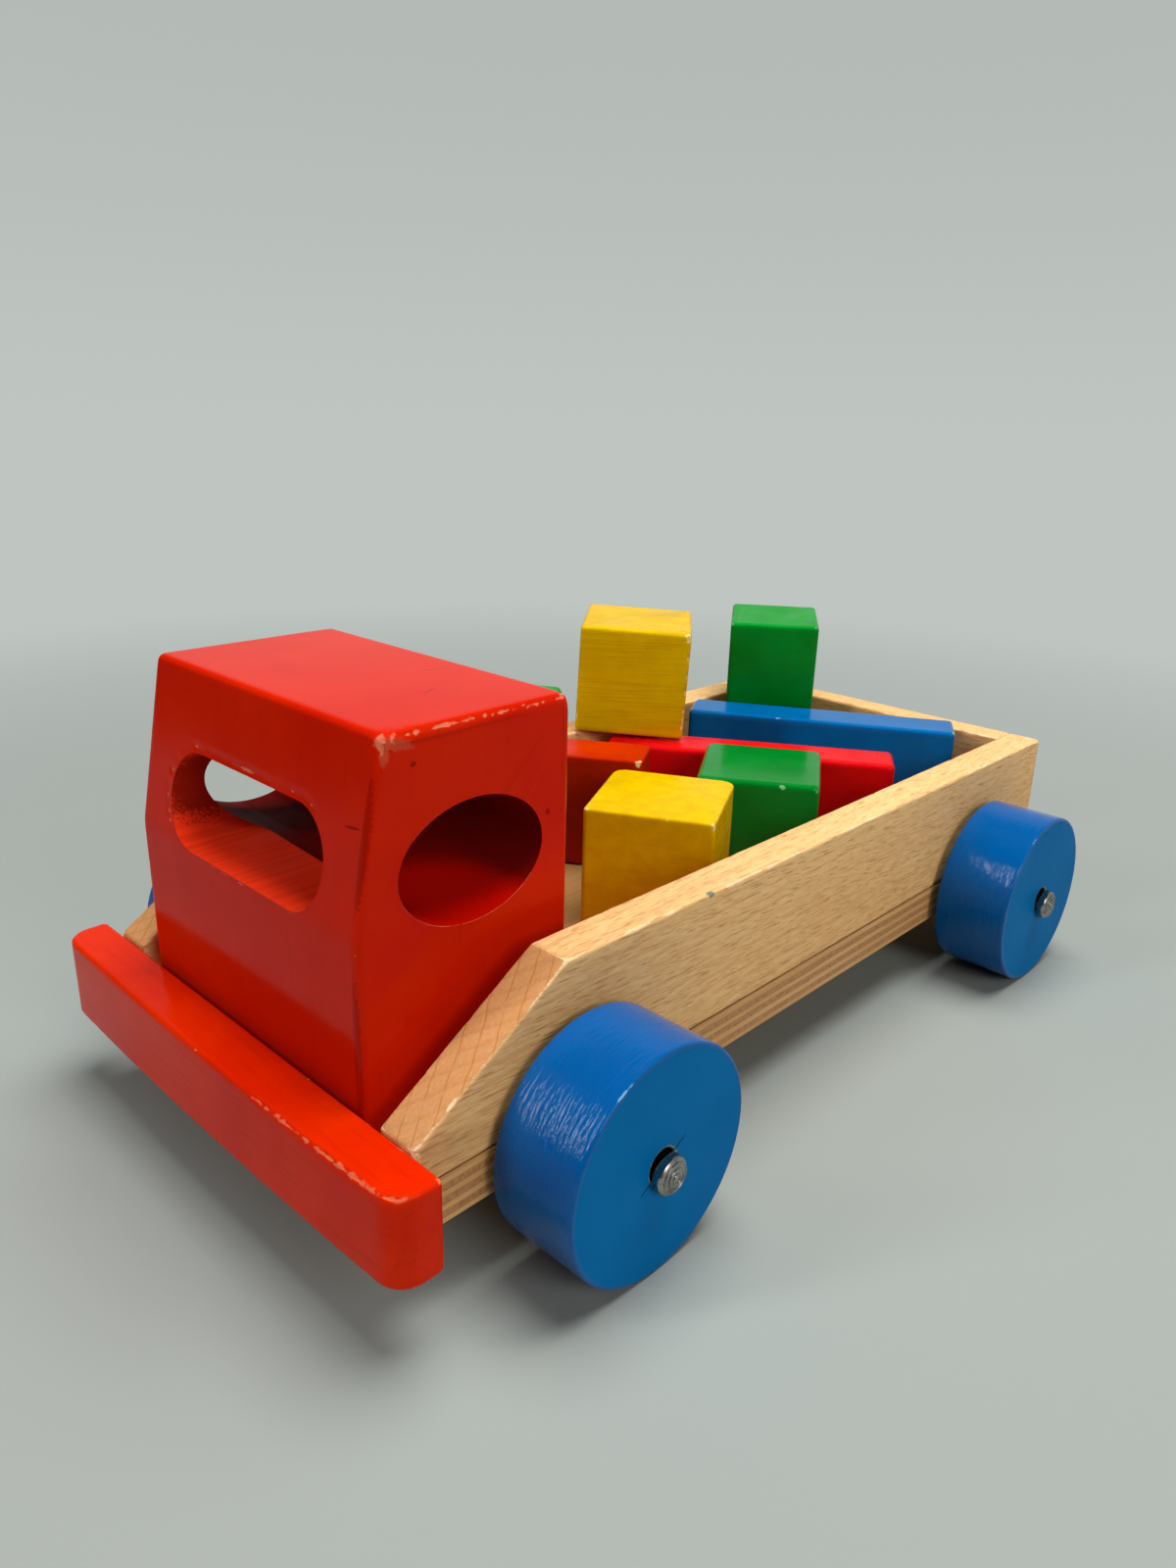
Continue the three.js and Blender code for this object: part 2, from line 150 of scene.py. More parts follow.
def startMaterial(name):
    material = bpy.data.materials.new(name)
    material.use_nodes = True
    tree = material.node_tree
    tree.nodes.clear()
    shader = addNode(tree, "ShaderNodeBsdfPrincipled")
    addNode(tree, "ShaderNodeOutputMaterial", {"Surface": shader.outputs[0]})
    place = addNode(tree, "ShaderNodeTexCoord").outputs["Object"]
    return material, tree, shader, place


# Marks and finishes
wearTexture = {"detail": 3.0, "rough": 0.65, "tear": 0.7}
spotTexture = {"scale": 1600.0, "ragged": 0.9, "ink": 0.8, "rim": (1.0, 0.6)}


def wearMask(tree, place, scale, low, high):
    # the mesh's own wear values, broken up by a fine noise
    attribute = addNode(tree, "ShaderNodeAttribute", attribute_name="wear").outputs["Fac"]
    ragged = offMiddle(tree, noiseAt(tree, place, scale, wearTexture["detail"], wearTexture["rough"]))
    return fadeBetween(tree, plus(tree, attribute, times(tree, ragged, wearTexture["tear"])), low, high)


def spotMask(tree, place, spot):
    # one small mark at a set place, as long and wide as its size, with a ragged outline
    local = addNode(tree, "ShaderNodeMapping",
                    {"Vector": place, "Location": spot["at"], "Scale": spot["size"],
                     "Rotation": spot.get("turn", (0, 0, 0))}, vector_type="TEXTURE").outputs[0]
    ragged = offMiddle(tree, noiseAt(tree, place, spotTexture["scale"]))
    ragged = times(tree, ragged, spot.get("ragged", spotTexture["ragged"]))
    away = plus(tree, lengthOf(tree, local), ragged)
    return times(tree, fadeBetween(tree, away, *spotTexture["rim"]), spot.get("ink", spotTexture["ink"]))


# what all painted wood shares; colours and depths come from each piece's own look
paintTexture = {"grainDetail": (4.0, 0.62), "blotchDetail": (3.0, 0.55), "blotchFade": (0.32, 0.7),
                "wornScale": 620.0, "wornMatt": 0.25, "wornDepth": 0.6,
                "fibre": fromScreen(176, 120, 76), "fibreFade": (0.4, 0.8), "fibreInk": 0.45,
                "glossScale": 95.0, "glossDetail": (4.0, 0.6), "glossFade": (0.3, 0.75),
                "fineScale": 1500.0, "fineDepth": 0.1, "bumpStrength": 0.5}


def paintedWood(name, look, turn=0.0):
    texture = paintTexture
    material, tree, shader, place = startMaterial(name)
    lengthwise = stretched(tree, place, look["grainStretch"], (0, 0, -turn))
    grain = noiseAt(tree, lengthwise, 1.0, *texture["grainDetail"])
    blotch = noiseAt(tree, place, look["blotchScale"], *texture["blotchDetail"])
    colour = mixColour(tree, fadeBetween(tree, blotch, *texture["blotchFade"]), look["colour"], look["shade"])
    line = fadeBetween(tree, grain, look["grainLow"], look["grainHigh"])
    colour = mixColour(tree, times(tree, line, look["grainInk"]), colour, look["grainColour"])
    for nick in look.get("nicks", ()):
        tone = nick.get("colour", look["grainColour"])
        colour = mixColour(tree, spotMask(tree, place, nick), colour, tone)
    worn = wearMask(tree, place, texture["wornScale"], look["wearLow"], look["wearHigh"])
    fibre = times(tree, fadeBetween(tree, grain, *texture["fibreFade"]), texture["fibreInk"])
    colour = mixColour(tree, worn, colour, mixColour(tree, fibre, look["worn"], texture["fibre"]))
    gloss = noiseAt(tree, place, texture["glossScale"], *texture["glossDetail"])
    gloss = fadeBetween(tree, gloss, *texture["glossFade"], *look["gloss"])
    fine = noiseAt(tree, place, texture["fineScale"])
    height = plus(tree, times(tree, grain, look["grainDepth"]),
                  times(tree, fine, look.get("fineDepth", texture["fineDepth"])))
    height = minus(tree, height, times(tree, worn, texture["wornDepth"]))
    feed(tree, shader, {"Base Color": colour,
                        "Roughness": plus(tree, gloss, times(tree, worn, texture["wornMatt"])),
                        "Normal": bumpFrom(tree, height, texture["bumpStrength"], look["relief"]),
                        "Specular IOR Level": look["specular"]})
    return material


# Mesh helpers
def newObject(name, data):
    made = bpy.data.objects.new(name, data)
    scene.collection.objects.link(made)
    return made


def repaint(mesh, material):
    mesh.materials.clear()
    mesh.materials.append(material)


def keepAs(mesh, name, body, nodes, material=None):
    # a finished piece in the shared frame, riding on its CAD body in place of its CAD nodes
    piece = newObject(name, mesh)
    if material:
        repaint(mesh, material)
    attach(piece, body)
    if nodes:
        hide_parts(*nodes)


def bodyOf(node):
    return next(body for body, nodes in frame["record"]["behaviour"]["bodies"].items() if node in nodes)


def meshFrom(name, points, faces):
    mesh = bpy.data.meshes.new(name)
    mesh.from_pydata([tuple(p) for p in points], [], faces)
    mesh.validate()
    mesh.shade_smooth()
    return mesh


def faceOutward(mesh):
    shape = bmesh.new()
    shape.from_mesh(mesh)
    bmesh.ops.remove_doubles(shape, verts=shape.verts, dist=sameSpot)
    bmesh.ops.recalc_face_normals(shape, faces=shape.faces)
    shape.to_mesh(mesh)
    shape.free()


def easeEdges(holder, width, degrees):
    eased = holder.modifiers.new("eased", "BEVEL")
    eased.width = width
    eased.segments = 2
    eased.limit_method = "ANGLE"
    eased.angle_limit = math.radians(degrees)


def bakedMesh(holder, name):
    # what the modifiers make of the holder, as a plain mesh; the holder itself goes
    depsgraph = bpy.context.evaluated_depsgraph_get()
    finished = bpy.data.meshes.new_from_object(holder.evaluated_get(depsgraph))
    finished.name = name
    holder.modifiers.clear()
    bpy.data.objects.remove(holder)
    return finished


def readArray(items, key, width, kind):
    values = np.zeros(len(items) * width, kind)
    items.foreach_get(key, values)
    return values.reshape(-1, width) if width > 1 else values


# how the noises mix along a worn edge, the same for every piece
wearMix = {"smoothings": 2, "leastEdge": 0.02, "sharpShare": 0.1, "seedSteps": (3.7, 1.3, 7.1),
           "middle": 0.5, "broad": 0.55, "small": 0.35, "rippleScale": 0.6,
           "chipBroad": 0.4, "chipGrowth": 2.2, "chipShown": 0.05, "chipWear": 0.9,
           "knockMiddle": 0.65, "knockRough": 0.6, "knockScale": 900, "knockBare": 2.0,
           "widestFace": 2.5 * mm, "mostSides": 8}


def convexBend(mesh, points, edges):
    # how fast the normals turn at each point, evened out over its neighbours
    normals = readArray(mesh.vertices, "normal", 3, np.float32).astype(float)
    starts, ends = edges[:, 0], edges[:, 1]
    step = points[ends] - points[starts]
    turn = normals[ends] - normals[starts]
    bend = (step * turn).sum(1) / np.maximum((step * step).sum(1), 1e-12)
    total = np.zeros(len(points))
    count = np.zeros(len(points))
    for side in (starts, ends):
        np.add.at(total, side, bend)
        np.add.at(count, side, 1)
    bend = total / np.maximum(count, 1)
    for smoothing in range(wearMix["smoothings"]):
        spread = np.zeros(len(points))
        np.add.at(spread, starts, bend[ends])
        np.add.at(spread, ends, bend[starts])
        bend = 0.5 * bend + 0.5 * spread / np.maximum(count, 1)
    return bend, normals


def wearEdges(mesh, look):
    # convex edges lose paint and small chips of wood
    points = readArray(mesh.vertices, "co", 3, np.float32).astype(float)
    edges = readArray(mesh.edges, "vertices", 2, np.int32)
    bend, normals = convexBend(mesh, points, edges)
    edge = np.clip((bend - look["bendLow"]) / (look["bendHigh"] - look["bendLow"]), 0, 1)
    edge[bend > look.get("sharpest", math.inf)] *= wearMix["sharpShare"]
    seed = Vector([look["seed"] * step for step in wearMix["seedSteps"]])
    worn = np.zeros(len(points))
    moved = points.copy()
    for i in np.nonzero(edge > wearMix["leastEdge"])[0]:
        spot = Vector(points[i])
        broad = noise.noise(spot * look["broadScale"] + seed)
        small = noise.noise(spot * look["smallScale"] - seed)
        amount = wearMix["middle"] + wearMix["broad"] * broad + wearMix["small"] * small + look["wear"]
        worn[i] = min(max(edge[i] * amount, 0), 1)
        chip = max(0.0, small + wearMix["chipBroad"] * broad - look["chipStart"]) * edge[i]
        dent = min(chip * look["chipDepth"] * wearMix["chipGrowth"], look["chipDepth"])
        waver = noise.noise(spot * look["smallScale"] * wearMix["rippleScale"] + seed * 2)
        ripple = look.get("ripple", 0.0) * edge[i] * (0.5 + 0.5 * waver)
        moved[i] -= normals[i] * (dent + ripple)
        if chip > wearMix["chipShown"]:
            worn[i] = max(worn[i], wearMix["chipWear"])
    for knock in look.get("knocks", ()):
        # single bigger knocks: where, how wide and how deep
        away = np.linalg.norm(points - np.array(knock["at"]), axis=1)
        near = np.clip(1 - away / knock["reach"], 0, 1)
        rough = np.zeros(len(points))
        for i in np.nonzero(near)[0]:
            waver = noise.noise(Vector(points[i]) * wearMix["knockScale"] + seed)
            rough[i] = wearMix["knockMiddle"] + wearMix["knockRough"] * waver
        moved -= normals * (near * rough * knock["depth"])[:, None]
        bare = knock.get("bare", wearMix["knockBare"])
        worn = np.maximum(worn, np.clip(near * rough * bare, 0, 1))
    mesh.vertices.foreach_set("co", moved.astype(np.float32).ravel())
    # the values sit on face corners, and big flat faces get none, so nothing bleeds over them
    corners = readArray(mesh.loops, "vertex_index", 1, np.int32)
    starts = readArray(mesh.polygons, "loop_start", 1, np.int32)
    totals = readArray(mesh.polygons, "loop_total", 1, np.int32)
    following = np.arange(len(corners)) + 1
    following[starts + totals - 1] = starts
    lengths = np.linalg.norm(moved[corners[following]] - moved[corners], axis=1)
    fine = np.maximum.reduceat(lengths, starts) < wearMix["widestFace"]
    fine &= totals < wearMix["mostSides"]
    layer = mesh.attributes.new("wear", "FLOAT", "CORNER")
    layer.data.foreach_set("value", (worn[corners] * np.repeat(fine, totals)).astype(np.float32))
    mesh.update()


rowNoise = {"step": 0.41, "row": (5.3, 1.9), "least": 0.3 * mm}


def raggedRow(places, reach, growth, tear, depth, bare):
    # small knocks that run together into a torn line, wider towards its end
    last = len(places) - 1
    knocks = []
    for k, at in enumerate(places):
        torn = tear * noise.noise(Vector((k * rowNoise["step"], *rowNoise["row"])))
        knocks.append({"at": at, "reach": max(rowNoise["least"], reach + growth * k / last + torn),
                       "depth": depth, "bare": bare})
    return tuple(knocks)


def onCircle(count):
    turns = [2 * math.pi * k / count for k in range(count)]
    return [(math.cos(turn), math.sin(turn)) for turn in turns]


def ringQuads(rings, around, first=0):
    # the faces between rings of points that follow one another
    faces = []
    for ring in range(rings - 1):
        for k in range(around):
            a = first + ring * around + k
            b = first + ring * around + (k + 1) % around
            faces.append((a, b, b + around, a + around))
    return faces


def roundedOutline(corners, radii, counts, arcSteps, inset):
    # the outline of a sawn board or block, drawn in by the inset, always with the same number of points
    total = len(corners)
    corners = [np.array(c, float) for c in corners]
    lines = []
    for i in range(total):
        a, b = corners[i], corners[(i + 1) % total]
        heading = (b - a) / np.linalg.norm(b - a)
        inward = np.array([-heading[1], heading[0]])
        lines.append((a + inward * inset, heading))
    tips = []
    for i in range(total):
        (a, u), (b, v) = lines[i - 1], lines[i]
        t = np.linalg.solve(np.array([[u[0], -v[0]], [u[1], -v[1]]]), b - a)[0]
        tips.append(a + u * t)
    starts, ends, arcs = [], [], []
    for i in range(total):
        u, v = lines[i - 1][1], lines[i][1]
        swing = math.acos(max(-1, min(1, float(u @ v))))
        radius = max(radii[i] - inset, 0.05 * mm)
        reach = radius * math.tan(swing / 2)
        start = tips[i] - u * reach
        middle = start + np.array([-u[1], u[0]]) * radius
        begin = math.atan2(start[1] - middle[1], start[0] - middle[0])
        turns = [begin + swing * k / arcSteps for k in range(arcSteps + 1)]
        starts.append(start)
        ends.append(tips[i] + v * reach)
        arcs.append([middle + radius * np.array([math.cos(turn), math.sin(turn)]) for turn in turns])
    points = []
    for i in range(total):
        points.extend(arcs[i])
        a, b = ends[i], starts[(i + 1) % total]
        points.extend(a + (b - a) * k / counts[i] for k in range(1, counts[i]))
    return np.array(points)


def easedSlab(corners, radii, low, high, edge, spacing, rim=5, arcSteps=6):
    # a slab over a rounded outline: walls, rolled edges and a narrow flat border before each end face
    border = edge + 0.6 * mm
    following = corners[1:] + corners[:1]
    sides = [np.linalg.norm(np.array(b) - np.array(a)) for a, b in zip(corners, following)]
    counts = [max(2, int(side / spacing)) for side in sides]
    turns = [k / rim * math.pi / 2 for k in range(rim + 1)]
    rolled = [(edge * (1 - math.cos(a)), edge * (1 - math.sin(a))) for a in turns]
    wall = high - low - 2 * edge
    wallSteps = max(2, int(wall / spacing))
    rings = [(low, border)] + [(low + rise, inset) for rise, inset in rolled]
    rings += [(low + edge + wall * k / wallSteps, 0.0) for k in range(1, wallSteps)]
    rings += [(high - rise, inset) for rise, inset in reversed(rolled)] + [(high, border)]
    points = []
    for level, inset in rings:
        outline = roundedOutline(corners, radii, counts, arcSteps, inset)
        points.extend((p[0], p[1], level) for p in outline)
    around = len(points) // len(rings)
    faces = ringQuads(len(rings), around)
    faces.append(tuple(range(around - 1, -1, -1)))
    faces.append(tuple(range(len(points) - around, len(points))))
    return np.array(points), faces


def fromSideView(points):
    # drawn in side view: across the page is X, up the page is Z, and the slab's depth is -Y
    return np.stack([points[:, 0], -points[:, 2], points[:, 1]], 1)


# Camera and studio
cameraLook = {"spot": (0.2101, 0.18287, 0.15739), "yaw": -136.353, "pitch": -19.4, "roll": 1.52,
              "focalPixels": 1122.85, "longSidePixels": 1600, "sensorWidth": 36, "nearest": 0.01}


def makeCamera(look):
    data = bpy.data.cameras.new("photoCamera")
    data.sensor_width = look["sensorWidth"]
    data.lens = look["sensorWidth"] * look["focalPixels"] / look["longSidePixels"]
    data.clip_start = look["nearest"]
    camera = newObject("photoCamera", data)
    yaw = Matrix.Rotation(math.radians(look["yaw"] - 90), 4, "Z")
    pitch = Matrix.Rotation(math.radians(90 + look["pitch"]), 4, "X")
    roll = Matrix.Rotation(math.radians(look["roll"]), 4, "Z")
    camera.matrix_world = Matrix.Translation(look["spot"]) @ (yaw @ pitch @ roll)
    scene.camera = camera


studioLook = {
    "floorRadius": 1.25, "sweepRadius": 0.7, "wallTop": 2.2, "sweepSteps": 12, "around": 96,
    "floorColour": fromScreen(156, 162, 157), "farColour": fromScreen(60, 62, 61), "farFade": (0.7, 1.2),
    "mottle": fromScreen(132, 138, 134), "mottleScale": 7.0, "mottleDetail": 3.0, "mottleInk": 0.08,
    "roughness": 0.75, "specular": 0.2,
    "lowColour": fromScreen(191, 197, 193), "highColour": fromScreen(180, 186, 182),
    "tallFade": (0.0, 0.8), "evenFade": (0.22, 0.64),
    "roomColour": fromScreen(52, 54, 53),
    "roomSides": (((0.96, 0.29, 0.0), 0.5, 0.9), ((0.9, -0.43, 0.0), 0.52, 0.85)),
    "worldColour": fromScreen(214, 219, 216), "worldStrength": 0.04,
    "lamps": (
        {"name": "overhead", "spot": (-0.2, 0.08, 1.25), "aim": (-0.03, 0.01, 0), "size": (0.95, 0.95),
         "power": 19.9, "glints": False},
        {"name": "rightSide", "spot": (0.25, 1.1, 0.62), "aim": (0, 0, 0.03), "size": (0.6, 0.6),
         "power": 4.9, "glints": True},
        {"name": "leftFront", "spot": (1.1, -0.5, 0.8), "aim": (0.05, 0, 0.03), "size": (0.18, 1.1),
         "power": 6.4, "glints": True},
    )}


def paleSheet(look):
    material, tree, shader, place = startMaterial("paleSheet")
    mottled = times(tree, noiseAt(tree, place, look["mottleScale"], look["mottleDetail"]), look["mottleInk"])
    colour = mixColour(tree, mottled, look["floorColour"], look["mottle"])
    # far from the truck the sheet throws little light back, as in a dim room
    away = lengthOf(tree, place)
    colour = mixColour(tree, fadeBetween(tree, away, *look["farFade"]), colour, look["farColour"])
    feed(tree, shader, {"Base Color": colour, "Roughness": look["roughness"],
                        "Specular IOR Level": look["specular"]})
    # away from the truck the sheet shows its own even colour to the eye and in reflections
    rays = addNode(tree, "ShaderNodeLightPath").outputs
    seen = mathNode(tree, "MAXIMUM", rays["Is Camera Ray"], rays["Is Glossy Ray"])
    seen = mathNode(tree, "MAXIMUM", seen, rays["Is Transmission Ray"])
    # the dim sides of the room, behind and beside the camera, show in reflections only
    toRoom = 0.0
    for heading, near, far in look["roomSides"]:
        toSide = fadeBetween(tree, alongHeading(tree, place, heading), near, far)
        toRoom = mathNode(tree, "MAXIMUM", toRoom, toSide)
    toRoom = times(tree, toRoom, rays["Is Glossy Ray"])
    tall = fadeBetween(tree, axesOf(tree, place)["Z"], *look["tallFade"])
    back = mixColour(tree, tall, look["lowColour"], look["highColour"])
    back = mixColour(tree, toRoom, back, look["roomColour"])
    even = addNode(tree, "ShaderNodeEmission", {"Color": back, "Strength": 1.0})
    share = times(tree, seen, fadeBetween(tree, away, *look["evenFade"]))
    blend = addNode(tree, "ShaderNodeMixShader", {0: share, 1: shader.outputs[0], 2: even.outputs[0]})
    feed(tree, tree.nodes["Material Output"], {"Surface": blend.outputs[0]})
    return material


def makeSweep(look):
    # a round floor that curves up into a wall
    profile = [(look["floorRadius"] / 2, 0.0)]
    for k in range(look["sweepSteps"] + 1):
        a = k / look["sweepSteps"] * math.pi / 2
        profile.append((look["floorRadius"] + look["sweepRadius"] * math.sin(a),
                        look["sweepRadius"] * (1 - math.cos(a))))
    profile.append((look["floorRadius"] + look["sweepRadius"], look["wallTop"]))
    around = look["around"]
    points = [(0.0, 0.0, 0.0)]
    for r, z in profile:
        points.extend((r * c, r * s, z) for c, s in onCircle(around))
    faces = [(0, 1 + k, 1 + (k + 1) % around) for k in range(around)]
    faces += [quad[::-1] for quad in ringQuads(len(profile), around, 1)]
    sweep = newObject("paleSweep", meshFrom("paleSweep", points, faces))
    sweep.data.materials.append(paleSheet(look))


def makeLight(look):
    world = bpy.data.worlds.new("softRoom")
    world.use_nodes = True
    feed(world.node_tree, world.node_tree.nodes["Background"],
         {"Color": look["worldColour"], "Strength": look["worldStrength"]})
    scene.world = world
    for lamp in look["lamps"]:
        data = bpy.data.lights.new(lamp["name"], "AREA")
        data.shape = "ELLIPSE"
        data.size, data.size_y = lamp["size"]
        data.energy = lamp["power"]
        light = newObject(lamp["name"], data)
        light.location = lamp["spot"]
        facing = Vector(lamp["aim"]) - Vector(lamp["spot"])
        light.rotation_euler = facing.to_track_quat("-Z", "Y").to_euler()
        light.visible_camera = False
        light.visible_glossy = lamp["glints"]


makeCamera(cameraLook)
makeSweep(studioLook)
makeLight(studioLook)
print("camera and studio ready")


# Side boards and tailgate: lacquered beech with short dark flecks
beechLook = {
    "light": fromScreen(247, 196, 130), "dark": fromScreen(233, 175, 110),
    "figureStretch": (7, 40, 60), "figureDetail": (4.0, 0.55), "figureFade": (0.3, 0.72),
    "streak": fromScreen(186, 130, 78), "streakInk": 0.3, "streakStretch": (24, 520, 700),
    "streakDetail": (3.0, 0.6), "streakFade": (0.5, 0.75),
    "fleck": fromScreen(186, 121, 62), "fleckInk": 0.6, "fleckFade": (0.56, 0.65),
    "fleckStretch": (180, 2300, 2600), "fleckDetail": (2.0, 0.5), "fleckSlant": (0, 0.06, 0),
    "fleckDepth": 0.3,
    "fibre": fromScreen(254, 214, 156), "fibreInk": 0.4, "fibreStretch": (240, 1900, 2100),
    "fibreDetail": (2.0, 0.6), "fibreFade": (0.4, 0.66), "fibreOnEnds": 0.25, "fibreDepth": 0.9,
    "endGrain": fromScreen(198, 136, 84), "endInk": 0.85, "endFade": (0.2, 0.5),
    "layerLean": (14, -200, 392), "layerInk": (0.2, 0.3), "layerFade": (0.5, 0.0),
    "wobbleStretch": (9, 60, 60), "wobbleDetail": (2.0, 0.5), "wobble": 1.6,
    "rayLean": (-156, 255, 0), "rayInk": 0.9, "rayFade": (0.43, 0.49), "rayDepth": 0.5,
    "rayWaverScale": 90.0, "rayWaver": 0.7, "rayBreakScale": 260.0, "rayBreak": (0.3, 0.45),
    "edge": fromScreen(250, 222, 176), "edgeInk": 0.75, "edgeScale": 1100.0, "edgeFade": (0.36, 0.62),
    "glossFade": (0.3, 0.8), "gloss": (0.42, 0.58), "specular": 0.2,
    "bumpStrength": 0.4, "relief": 0.15 * mm,
    "nick": {"at": millimetres(38.4, 55.6, 58.7), "size": millimetres(1.5, 0.9, 0.9)},
    "nickColour": fromScreen(70, 112, 108)}
sideBoardLook = {"slopeLength": 36 * mm, "footHeight": 8.2 * mm, "edge": 0.7 * mm, "corner": 0.9 * mm,
                 "spacing": 1.0 * mm, "seeds": {"side_board_left": 3, "side_board_right": 4}}
tailgateLook = {"edge": 0.7 * mm, "corner": 0.8 * mm, "spacing": 1.0 * mm, "seed": 6}
boardWear = {"bendLow": 250, "bendHigh": 900, "broadScale": 60, "smallScale": 420, "wear": 0.15,
             "chipStart": 0.4, "chipDepth": 0.4 * mm, "ripple": 0.15 * mm}


def beechWood(name, look, turn=(0, 0, 0), endAxis="X"):
    material, tree, shader, place = startMaterial(name)

    def drawn(part, lean=turn):
        vector = stretched(tree, place, look[part + "Stretch"], lean)
        return noiseAt(tree, vector, 1.0, *look[part + "Detail"])

    own = addNode(tree, "ShaderNodeMapping", {"Vector": place, "Rotation": turn}).outputs[0]
    figure, fibre, streak = drawn("figure"), drawn("fibre"), drawn("streak")
    fleck = drawn("fleck", tuple(a + b for a, b in zip(turn, look["fleckSlant"])))
    # growth layers lie along the board: long bands on its faces, slanting lines where it is cut across
    facing = axesOf(tree, addNode(tree, "ShaderNodeNewGeometry").outputs["True Normal"])[endAxis]
    cutEnd = fadeBetween(tree, mathNode(tree, "ABSOLUTE", facing), *look["endFade"])
    wobble = times(tree, drawn("wobble"), look["wobble"])
    depth = mathNode(tree, "FRACT", plus(tree, alongHeading(tree, own, look["layerLean"]), wobble))
    late = fadeBetween(tree, depth, *look["layerFade"])
    waver = times(tree, noiseAt(tree, place, look["rayWaverScale"]), look["rayWaver"])
    across = mathNode(tree, "FRACT", plus(tree, alongHeading(tree, own, look["rayLean"]), waver))
    ray = fadeBetween(tree, mathNode(tree, "ABSOLUTE", offMiddle(tree, across)), *look["rayFade"])
    broken = fadeBetween(tree, noiseAt(tree, place, look["rayBreakScale"]), *look["rayBreak"])
    ray = times(tree, times(tree, ray, cutEnd), broken)
    colour = mixColour(tree, fadeBetween(tree, figure, *look["figureFade"]), look["light"], look["dark"])
    colour = mixColour(tree, times(tree, cutEnd, look["endInk"]), colour, look["endGrain"])
    bands = plus(tree, look["layerInk"][0], times(tree, cutEnd, look["layerInk"][1]))
    colour = mixColour(tree, times(tree, late, bands), colour, look["streak"])
    streaks = times(tree, fadeBetween(tree, streak, *look["streakFade"]), look["streakInk"])
    colour = mixColour(tree, streaks, colour, look["streak"])
    threads = times(tree, fadeBetween(tree, fibre, *look["fibreFade"], 0.0, look["fibreInk"]),
                    fadeBetween(tree, cutEnd, 0.0, 1.0, 1.0, look["fibreOnEnds"]))
    colour = mixColour(tree, threads, colour, look["fibre"])
    dashes = minus(tree, fadeBetween(tree, fleck, *look["fleckFade"]), cutEnd)
    dashes = mathNode(tree, "MAXIMUM", dashes, 0.0)
    colour = mixColour(tree, times(tree, dashes, look["fleckInk"]), colour, look["fleck"])
    colour = mixColour(tree, times(tree, ray, look["rayInk"]), colour, look["fleck"])
    colour = mixColour(tree, spotMask(tree, place, look["nick"]), colour, look["nickColour"])
    worn = wearMask(tree, place, look["edgeScale"], *look["edgeFade"])
    colour = mixColour(tree, times(tree, worn, look["edgeInk"]), colour, look["edge"])
    height = minus(tree, times(tree, fibre, look["fibreDepth"]), times(tree, dashes, look["fleckDepth"]))
    height = minus(tree, height, times(tree, ray, look["rayDepth"]))
    feed(tree, shader, {"Base Color": colour,
                        "Roughness": fadeBetween(tree, streak, *look["glossFade"], *look["gloss"]),
                        "Normal": bumpFrom(tree, height, look["bumpStrength"], look["relief"]),
                        "Specular IOR Level": look["specular"]})
    return material


def makeSideBoards(look, material):
    for node, seed in look["seeds"].items():
        low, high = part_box(node)
        corners = [(low.x, low.z), (high.x, low.z), (high.x, low.z + look["footHeight"]),
                   (high.x - look["slopeLength"], high.z), (low.x, high.z)]
        radii = [look["corner"]] * len(corners)
        points, faces = easedSlab(corners, radii, -high.y, -low.y, look["edge"], look["spacing"])
        mesh = meshFrom(node + "_worn", fromSideView(points), faces)
        wearEdges(mesh, dict(boardWear, seed=seed))
        keepAs(mesh, node + "_worn", bodyOf(node), [node], material)


def makeTailgate(look, material):
    low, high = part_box("tailgate")
    corners = [(low.x, low.y), (high.x, low.y), (high.x, high.y), (low.x, high.y)]
    radii = [look["corner"]] * len(corners)
    points, faces = easedSlab(corners, radii, low.z, high.z, look["edge"], look["spacing"])
    mesh = meshFrom("tailgate_worn", points, faces)
    wearEdges(mesh, dict(boardWear, seed=look["seed"]))
    keepAs(mesh, "tailgate_worn", "truck", ["tailgate"], material)


makeSideBoards(sideBoardLook, beechWood("beechAlong", beechLook))
makeTailgate(tailgateLook, beechWood("beechAcross", beechLook, (0, 0, math.radians(90)), "Y"))
print("boards ready")


# Base board: plywood, its edges just broken
baseLook = {"layers": 7, "light": fromScreen(222, 170, 108), "dark": fromScreen(202, 146, 88),
            "crossLight": fromScreen(198, 141, 85), "crossDark": fromScreen(170, 114, 66),
            "alongStretch": (18, 420, 900), "acrossStretch": (900, 18, 900), "grainDetail": (4.0, 0.6),
            "grainFade": (0.35, 0.7), "waverScale": 60.0, "waver": 0.5 * mm,
            "glue": fromScreen(130, 84, 48), "glueInk": 0.5, "glueFade": (0.16, 0.0), "glueDepth": 0.8,
            "glossFade": (0.3, 0.8), "gloss": (0.5, 0.7), "bumpStrength": 0.3, "relief": 0.4 * mm,
            "edge": 0.35 * mm, "edgeAngle": 50, "flatAngle": 1}


